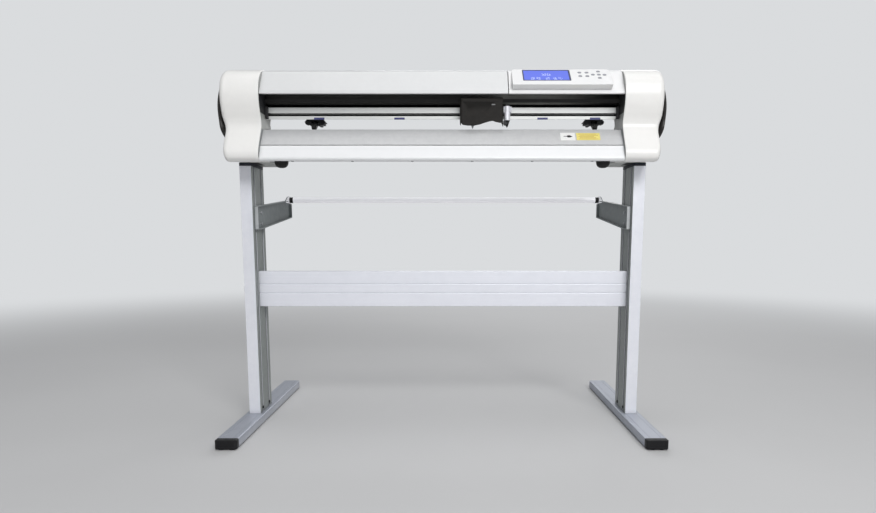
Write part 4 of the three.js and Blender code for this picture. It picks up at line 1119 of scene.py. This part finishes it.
def beam_and_rail():
    for node, outline, half, mat, slot, width in (
            ("rail_beam", BEAM, BEAM_X, "beam_aluminium", "beam_aluminium", 0.4),
            ("guide_rail", RAIL, 437.3, "rail_steel", "rail_steel", 0.25),
            ("belt_guard", GUARD, BEAM_X - 0.4, "guard_metal", "dark_metal", 0.25)):
        o = prism(node + "_skin", outline, "X", -half, half, mat, width, 2, 25)
        place(o, slot, node)
    # painted shade: black strips above and below the rail stand in for the shade in the gaps there
    for name, z0, z1 in (("rail_shadow_strip", 816.2, 823.8), ("rail_under_shade_strip", 795.4, 800.8)):
        o = prism(name, rect(-12.36, -12.04, z0, z1, 0.1, 2), "X", -BEAM_X, BEAM_X,
                  "painted_shade_black", 0.08, 1)
        place(o, "black_plastic")


def end_linings():
    """Thin black and grey sheets on the inner ends of the covers, beside the recess and beside the
    platen: painted shade where the covers' inner faces lie in shadow.
    """
    outline = offset_path(LOOP, -4.2, True)
    for side, sign in SIDES:
        sheet = span(sign, 440.03, 440.37)
        slab = span(sign, 439, 442)
        for name, mat, part in (
                ("recess_shade_lining_", "black_plastic", lambda: swept(RECESS, "X", *slab)),
                ("platen_shade_sheet_", "grey_steel", lambda: box(*slab, -120, 60, 680, 758))):
            o = new_object(name + side, swept(outline, "X", *sheet), mat)
            boolean(o, part(), "INTERSECT")
            place(soften(o, 0), "black_plastic")


def roller_labels():
    for i, x in enumerate(LABEL_X):
        o = prism(f"roller_label_{i}", rect(x - 13, x + 13, 786.4, 791.6, 0.8), "Y",
                  -20.35, -20.02, "blue_label", 0.1, 1)
        place(o, "display")


# ------------------------------------------------------------------ platen, strip and apron
SLOPE_LOW, SLOPE_HIGH = (-76, 717), (-47, 758)  # sloping front face of the platen
on_slope = incline(*SLOPE_LOW, *SLOPE_HIGH)
# [y, z, corner radius] from front to rear
PLATEN = [SLOPE_LOW, [*SLOPE_HIGH, 4], [84, 758, 40], [121.5, 736, 16], [121.5, 722]]
APRON = [[-76.9, 715.2], [-93, 683, 6], [-86, 677, 4], [-64, 684, 8], [-16, 684.4, 20],
         [112, 703, 8], [121.5, 711, 4], [121.5, 721]]
STRIP = [[-43.2, 756.02], [-36.8, 756.02], [-36.8, 758.0], [-37.2, 758.4], [-42.8, 758.4],
         [-43.2, 758.0]]


def platen():
    """Sheet with a window over each grit roller and a groove for the cutting strip."""
    sheet = swept(ribbon(filleted(PLATEN, False, 10), 4), "X", -BEAM_X, BEAM_X)
    o = new_object("platen_skin", sheet, "platen_metal")
    for x in GRIT_X:
        boolean(o, box(x - 16, x + 16, SHAFT_Y - 10, SHAFT_Y + 10, 745, 762))
    boolean(o, box(-BEAM_X - 1, BEAM_X + 1, -43.5, -36.5, 756, 760))
    place(soften(o, 0.4, 2, 28), "platen_metal", "platen")
    o = prism("cutting_strip_skin", STRIP, "X", -430, 430, "strip_plastic", 0.2)
    place(o, "strip_plastic", "cutting_strip")


def apron():
    o = prism("front_apron_skin", ribbon(filleted(APRON, False), -3), "X", -BEAM_X, BEAM_X,
              "apron_metal", 0.5, 2, 28)
    place(o, "apron_metal", "front_apron")


def body_screws():
    for i in range(6):
        x = -375 + 150 * i
        screw(f"base_screw_{i}", (x, -30, 684.2), (0, 0, -1), 3.4, 2.0, spin=x)
    for i, x in enumerate((-420, -210, 0, 210, 420)):
        screw(f"rear_screw_{i}", (x, 121.5, 728), (0, 1, 0), 3.2, 1.8, spin=x)
    for i, x in enumerate((-420, -210, 0, 145, 420)):
        screw(f"rear_cover_screw_{i}", (x, 122, 834), (0, 1, 0), 3.2, 1.8, spin=x)


def stickers():
    """Two stickers on the platen's sloping front, with generic marks."""
    def patch(x0, x1, up0, up1, h0, h1, radius=0.8):
        return tilted(on_slope, rect(x0, x1, up0, up1, radius, 4), h0, h1)

    place(new_object("sticker_white", patch(289, 325, 14, 39, 0.02, 0.3), "label_white"),
          "strip_plastic")
    place(new_object("sticker_yellow", patch(328, 386, 15, 38, 0.02, 0.3), "label_yellow"),
          "strip_plastic")
    marks = [patch(297, 306, 26.4, 28.2, 0.28, 0.42, 0.5),
             patch(305, 315, 23.5, 30.5, 0.28, 0.42, 3.0),
             patch(313, 318, 25.4, 28, 0.28, 0.42, 0.8)]
    place(new_object("sticker_white_mark", joined(marks), "label_ink"), "black_plastic")
    lines = [patch(333 + (k % 2) * 3, 381 - (k % 3) * 5, 18 + 4.0 * k, 19.3 + 4.0 * k,
                   0.28, 0.38, 0.3) for k in range(5)]
    place(new_object("sticker_yellow_lines", joined(lines), "label_brown"), "brass_gear")


# ------------------------------------------------------------------ feed drive
SHAFT = [[4.2, -466], [5, -465.2], [5, -200], [5, 0], [5, 200], [5, 446.2], [4.2, 447]]
GRIT_HALF = [[5.05, -15], [9.3, -15], [10, -14.4], [10, -6]]  # [radius, x from the middle]


def feed_drive():
    axis = (0, SHAFT_Y, SHAFT_Z)
    o = lathe("grit_shaft_skin", SHAFT, axis, "shaft_steel", "X", n=40, width=0)
    place(o, "shaft_steel", "grit_shaft", body="feed_shaft")
    for i, x in enumerate(GRIT_X):
        roller = [[r, x + t] for r, t in mirrored(GRIT_HALF, [[10, 0]])]
        o = lathe(f"grit_roller_{i}", roller, axis, "grit", "X", n=56, width=0)
        place(o, "shaft_steel", body="feed_shaft")
    for node, mat, body in (("shaft_gear", "gear_plastic", "feed_shaft"),
                            ("motor_pinion", "brass_gear", "motor_pinion"),
                            ("feed_motor", "motor_black", "machine"),
                            ("carriage_motor", "motor_black", "machine")):
        place(cad_copy(node, mat, 0.25, 1, 40), mat, node, body=body)


# ------------------------------------------------------------------ belt and pulleys
PULLEY_X, PULLEY_Y = 475, -12
BELT_RADIUS = 15.6  # radius at which the belt's length is measured
STRAIGHT, BEND = 2 * PULLEY_X, math.pi * BELT_RADIUS
BELT_LENGTH = 2 * (2 * PULLEY_X + math.pi * BELT_RADIUS)
# (share of the pitch, inner radius) round one tooth
TOOTH = ((0.0, 16.2), (0.4, 16.2), (0.5, 15.62), (0.9, 15.62))
# [radius, z] between the ends of the bore
PULLEY = [[17.4, 823.8], [18, 824.2], [18, 825.0], [15.1, 825.5], [15.1, 834.5], [18, 835.0],
          [18, 835.8], [17.4, 836.2]]


def belt_point(t, r):
    """(x, y) at length t round the belt, starting on the front run, at radius r."""
    t %= 2 * (STRAIGHT + BEND)
    if t < STRAIGHT:
        return (-PULLEY_X + t, PULLEY_Y - r)
    t -= STRAIGHT
    if t < BEND:
        a = -math.pi / 2 + t / BELT_RADIUS
        return (PULLEY_X + r * math.cos(a), PULLEY_Y + r * math.sin(a))
    t -= BEND
    if t < STRAIGHT:
        return (PULLEY_X - t, PULLEY_Y + r)
    t -= STRAIGHT
    a = math.pi / 2 + t / BELT_RADIUS
    return (-PULLEY_X + r * math.cos(a), PULLEY_Y + r * math.sin(a))


def timing_belt():
    teeth = int(BELT_LENGTH / 3)
    outer, inner = [], []
    for i in range(teeth):
        for share, r in TOOTH:
            t = (i + share) * BELT_LENGTH / teeth
            outer.append(belt_point(t, 17.05))
            inner.append(belt_point(t, r))
    n = len(outer)
    verts = [(x, y, z) for path in (outer, inner) for z in (826.0, 834.0) for x, y in path]
    faces = []
    for i in range(n):
        j = (i + 1) % n
        faces += [[i, j, n + j, n + i], [2 * n + i, 3 * n + i, 3 * n + j, 2 * n + j],
                  [n + i, n + j, 3 * n + j, 3 * n + i], [i, 2 * n + i, 2 * n + j, j]]
    place(new_object("timing_belt_skin", mesh_of(verts, faces), "belt_rubber"), "belt_rubber",
          "timing_belt")


def pulleys():
    for name, x, bore in (("drive_pulley", PULLEY_X, 2.8), ("idler_pulley", -PULLEY_X, 3.3)):
        profile = [[bore, 823.8]] + PULLEY + [[bore, 836.2], [bore, 823.8]]
        o = lathe(name + "_skin", profile, (x, PULLEY_Y, 0), "pulley_metal", n=56, width=0.2,
                  segments=1, angle=35, closed_ends=False)
        place(o, "pulley_metal", name, body=name)


# ------------------------------------------------------------------ carriage and tool
# front view as [x, z, corner radius], anticlockwise seen from the front
CARRIAGE_FRONT = [
    [44, 832, 3.5], [44, 774, 6], [50, 767, 5], [62, 765.2, 8], [78, 765, 12], [92, 767.8, 20],
    [106, 772.4, 20], [118, 775.6, 12], [124, 776.4, 3], [130, 774, 8], [140, 772, 6],
    [145.8, 771.4, 1.2], [147.6, 763.4, 1.0], [149.6, 762, 0.8], [150.0, 765.6, 2],
    [148.6, 776, 6], [148.6, 832, 3.5]]
CARRIAGE_PLAN = [[44, -60, 7], [148.6, -60, 3.5], [151, -48], [151, -22], [44, -22]]
CARRIAGE_SIDE = [[-60, 750], [-22, 750], [-22, 832], [-60, 832, 5]]
HOLDER = (159.5, -45, 0)  # blade holder axis
# [radius, z]
NOSE = [[0.3, 761.6], [0.6, 763.0], [1.0, 764.5], [2.6, 765.5], [3.4, 769], [6.6, 778.4],
        [6.9, 779.0]]
BARREL = [[6.9, 779.05], [7.5, 779.6], [7.5, 781.4], [7.1, 781.7], [7.1, 782.6], [7.5, 782.9],
          [7.5, 800], [7.1, 800.3], [7.1, 801.2], [7.5, 801.5], [7.5, 812.4], [6.6, 813.3],
          [4.7, 813.5]]
KNOB = [[4.4, 813.55], [4.6, 813.6], [4.6, 816.0], [3.9, 816.5], [1.5, 816.6]]
TOOL_GUARD = [[150.6, 779], [150.6, 771.5], [153.5, 768.2], [157, 768.4], [166.4, 778.9]]


def carriage():
    place(cad_copy("carriage_plate", "carriage_metal", 0.35, 2, 38), "carriage_metal",
          "carriage_plate", body="carriage")
    o = new_object("carriage_cover_skin",
                   swept(filleted(CARRIAGE_FRONT, True, 5), "Y", -60, -22), "carriage_plastic")
    boolean(o, swept(filleted(CARRIAGE_PLAN, True, 10), "Z", 750, 840), "INTERSECT")
    boolean(o, swept(filleted(CARRIAGE_SIDE, True, 10), "X", 40, 155), "INTERSECT")
    # the hollow, then notches at the rear of the top and on the right-hand side
    for notch in ((46.2, 146.2, -57.8, -20, 740, 829.8), (40, 155, -33.6, -20, 822, 840),
                  (140, 156, -41, -20, 740, 829.8), (140, 156, -57.8, -20, 740, 771.8)):
        boolean(o, box(*notch))
    for x in (56, 104):  # posts inside
        boolean(o, box(x, x + 6, -58.5, -27.05, 808, 814), "UNION")
    # shallow line across the front
    boolean(o, swept(rect(50, 143, 821.0, 821.9, 0.3, 2), "Y", -62, -59.55))
    place(soften(o, 0.8, 3, 35), "carriage_plastic", "carriage_cover", body="carriage")
    o = prism("carriage_emblem", rect(120.5, 129.5, 813.2, 816.0, 1.39, 6), "Y", -60.35, -60.0,
              "badge", 0.2)
    place(o, "clamp_metal", body="carriage")


def holder_knob():
    """Knob with 24 flutes round its widest part."""
    n, depth = 160, 0.18
    loops = []
    for r, z in KNOB:
        loop = []
        for i in range(n):
            a = 2 * math.pi * i / n
            wave = depth * math.cos(24 * a) if 4.5 < r < 5 else 0
            radius = r + wave - depth
            loop.append((HOLDER[0] + radius * math.cos(a), HOLDER[1] + radius * math.sin(a), z))
        loops.append(loop)
    o = soften(new_object("blade_holder_knob", rings(loops), "screw_black"), 0)
    place(o, "holder_metal", body="tool")


def tool():
    place(cad_copy("tool_slide", "clamp_metal", 0.5, 2, 38), "clamp_metal", "tool_slide",
          body="tool")
    o = lathe("blade_holder_nose", NOSE, HOLDER, "black_plastic", n=40, width=0)
    place(o, "black_plastic", body="tool")
    o = lathe("blade_holder_barrel", BARREL, HOLDER, "holder_metal", width=0.2, angle=40)
    place(o, "holder_metal", "blade_holder", body="tool")
    holder_knob()
    # black guard beside the nose
    o = prism("tool_guard", TOOL_GUARD, "Y", -50, -40, "black_plastic", 0.3, 1)
    place(o, "black_plastic", body="tool")


# ------------------------------------------------------------------ pinch rollers
# [radius, x from the middle]: axle stub, then the tyre with two grooves
WHEEL_HALF = [[0.3, -6.3], [1.8, -6.2], [1.8, -4.15], [7.2, -4.1], [8, -3.5], [8, -1.6],
              [7.6, -1.3], [7.6, -0.9], [8, -0.6]]


def pinch_roller(side, cx):
    place(cad_copy("pinch_bracket_" + side, "black_plastic", 0.8, 3, 30), "black_plastic",
          "pinch_bracket_" + side, body="pinch_slider_" + side)
    arm = "pinch_arm_" + side
    o = plain_copy(arm, "black_steel")
    for way in (-1, 1):  # sloping cuts off the lower corners
        corner = [[cx + way * 5.2, 760], [cx + way * 9, 760], [cx + way * 9, 779],
                  [cx + way * 6.65, 777.5]]
        boolean(o, swept(corner, "Y", -16, 6))
    place(soften(o, 0.35, 2, 30), "black_steel", arm, body=arm)
    wheel = "pinch_wheel_" + side
    profile = [[r, cx + t] for r, t in mirrored(WHEEL_HALF)]
    o = lathe(wheel + "_skin", profile, (0, -10, 768.9), "rubber", "X", width=0.15, segments=1,
              angle=35)
    place(o, "rubber", wheel, body=wheel)


# ------------------------------------------------------------------ assembly
stand()
ends()
top_cover()
control_housing()
display()
keys()
power_switch()
mains_inlet()
place(cad_copy("controller_board", "circuit_board", 0.15, 1), "circuit_board",
      "controller_board")
beam_and_rail()
end_linings()
roller_labels()
platen()
apron()
body_screws()
stickers()
feed_drive()
timing_belt()
pulleys()
carriage()
tool()
pinch_roller("left", -323)
pinch_roller("right", 384)

# ------------------------------------------------------------------ stage, metres from here on
BACKDROP = (0.70, 0.715, 0.73, 1)
SKY = (0.955, 0.97, 1.0, 1)
SKY_BASE = 0.05
# axis (0 is X), way, exponent (higher is narrower), strength
SKY_LOBES = ((1, -1, 2.0, 0.50),   # front
             (2, 1, 1.6, 0.42),    # top
             (1, 1, 1.6, 0.30),    # back
             (0, 1, 2.5, 0.05))    # right


def floor_material():
    """Pale matte floor that fades into the backdrop far from the object, for the camera only."""
    m = bpy.data.materials.new("studio_floor")
    m.use_nodes = True
    tree = m.node_tree
    link = tree.links.new
    bsdf = tree.nodes["Principled BSDF"]
    coords = add_node(tree, "ShaderNodeTexCoord").outputs["Object"]
    level = ramp(tree, noise(tree, coords, scale=2.0, detail=5.0), to_min=0.60, to_max=0.63)
    grey = add_node(tree, "ShaderNodeCombineColor")
    for k in range(3):
        link(level, grey.inputs[k])
    link(grey.outputs[0], bsdf.inputs["Base Color"])
    bsdf.inputs["Roughness"].default_value = 0.8
    glow = add_node(tree, "ShaderNodeEmission", Color=BACKDROP)
    distance = add_node(tree, "ShaderNodeVectorMath", operation="LENGTH")
    link(coords, distance.inputs[0])
    fade = ramp(tree, distance.outputs["Value"], 1.3, 5.0, style="SMOOTHERSTEP")
    camera_ray = add_node(tree, "ShaderNodeLightPath").outputs["Is Camera Ray"]
    mixed_shader(tree, calc(tree, "MULTIPLY", fade, camera_ray), bsdf.outputs[0],
                 glow.outputs[0], tree.nodes["Material Output"].inputs[0])
    return m


def studio_floor():
    bm = bmesh.new()
    bmesh.ops.create_grid(bm, x_segments=2, y_segments=2, size=40)
    me = bpy.data.meshes.new("studio_floor")
    bm.to_mesh(me)
    bm.free()
    floor = bpy.data.objects.new("studio_floor", me)
    SCENE.collection.objects.link(floor)
    floor.location = (0, 0, -0.0002)
    me.materials.append(floor_material())


def studio_world():
    """Soft light mostly from the front and above; the camera sees the plain backdrop."""
    world = bpy.data.worlds.new("studio")
    SCENE.world = world
    world.use_nodes = True
    tree = world.node_tree
    tree.nodes.clear()
    out = add_node(tree, "ShaderNodeOutputWorld")
    coords = add_node(tree, "ShaderNodeTexCoord")
    split = add_node(tree, "ShaderNodeSeparateXYZ")
    tree.links.new(coords.outputs["Generated"], split.inputs[0])
    total = SKY_BASE
    for axis, way, exponent, strength in SKY_LOBES:
        facing = calc(tree, "MULTIPLY", split.outputs[axis], way, clamp=True)
        lobe = calc(tree, "MULTIPLY", calc(tree, "POWER", facing, exponent), strength)
        total = calc(tree, "ADD", total, lobe)
    sky = add_node(tree, "ShaderNodeBackground", Color=SKY)
    tree.links.new(total, sky.inputs[1])
    seen = add_node(tree, "ShaderNodeBackground", Color=BACKDROP)
    camera_ray = add_node(tree, "ShaderNodeLightPath").outputs["Is Camera Ray"]
    mixed_shader(tree, camera_ray, sky.outputs[0], seen.outputs[0], out.inputs[0])


def area_light(name, location, target, size, power):
    data = bpy.data.lights.new(name, "AREA")
    data.shape = "RECTANGLE"
    data.size, data.size_y = size
    data.energy = power
    o = bpy.data.objects.new(name, data)
    SCENE.collection.objects.link(o)
    o.location = location
    o.rotation_euler = (Vector(target) - Vector(location)).to_track_quat("-Z", "Y").to_euler()


def camera():
    """Level view from the front, tipped slightly down; the shifts centre the machine."""
    data = bpy.data.cameras.new("camera")
    o = bpy.data.objects.new("camera", data)
    SCENE.collection.objects.link(o)
    o.location = (0.02215, -1.6485, 0.4933)
    o.rotation_euler = (math.radians(82.90), 0, 0)
    data.sensor_width = 36.0
    data.lens = 24.658
    data.shift_x = -0.01501
    data.shift_y = 0.0640
    SCENE.camera = o


studio_floor()
studio_world()
area_light("key", location=(0.85, -2.98, 2.35), target=(0.05, 0, 0.6), size=(2.0, 1.2), power=70)
area_light("overhead", location=(0, -0.2, 3.0), target=(0, 0, 0.6), size=(2.4, 1.4), power=9)
area_light("rear", location=(0.6, 2.8, 1.9), target=(0, 0, 0.7), size=(2.4, 1.4), power=22)
camera()
SCENE.view_settings.view_transform = "Standard"
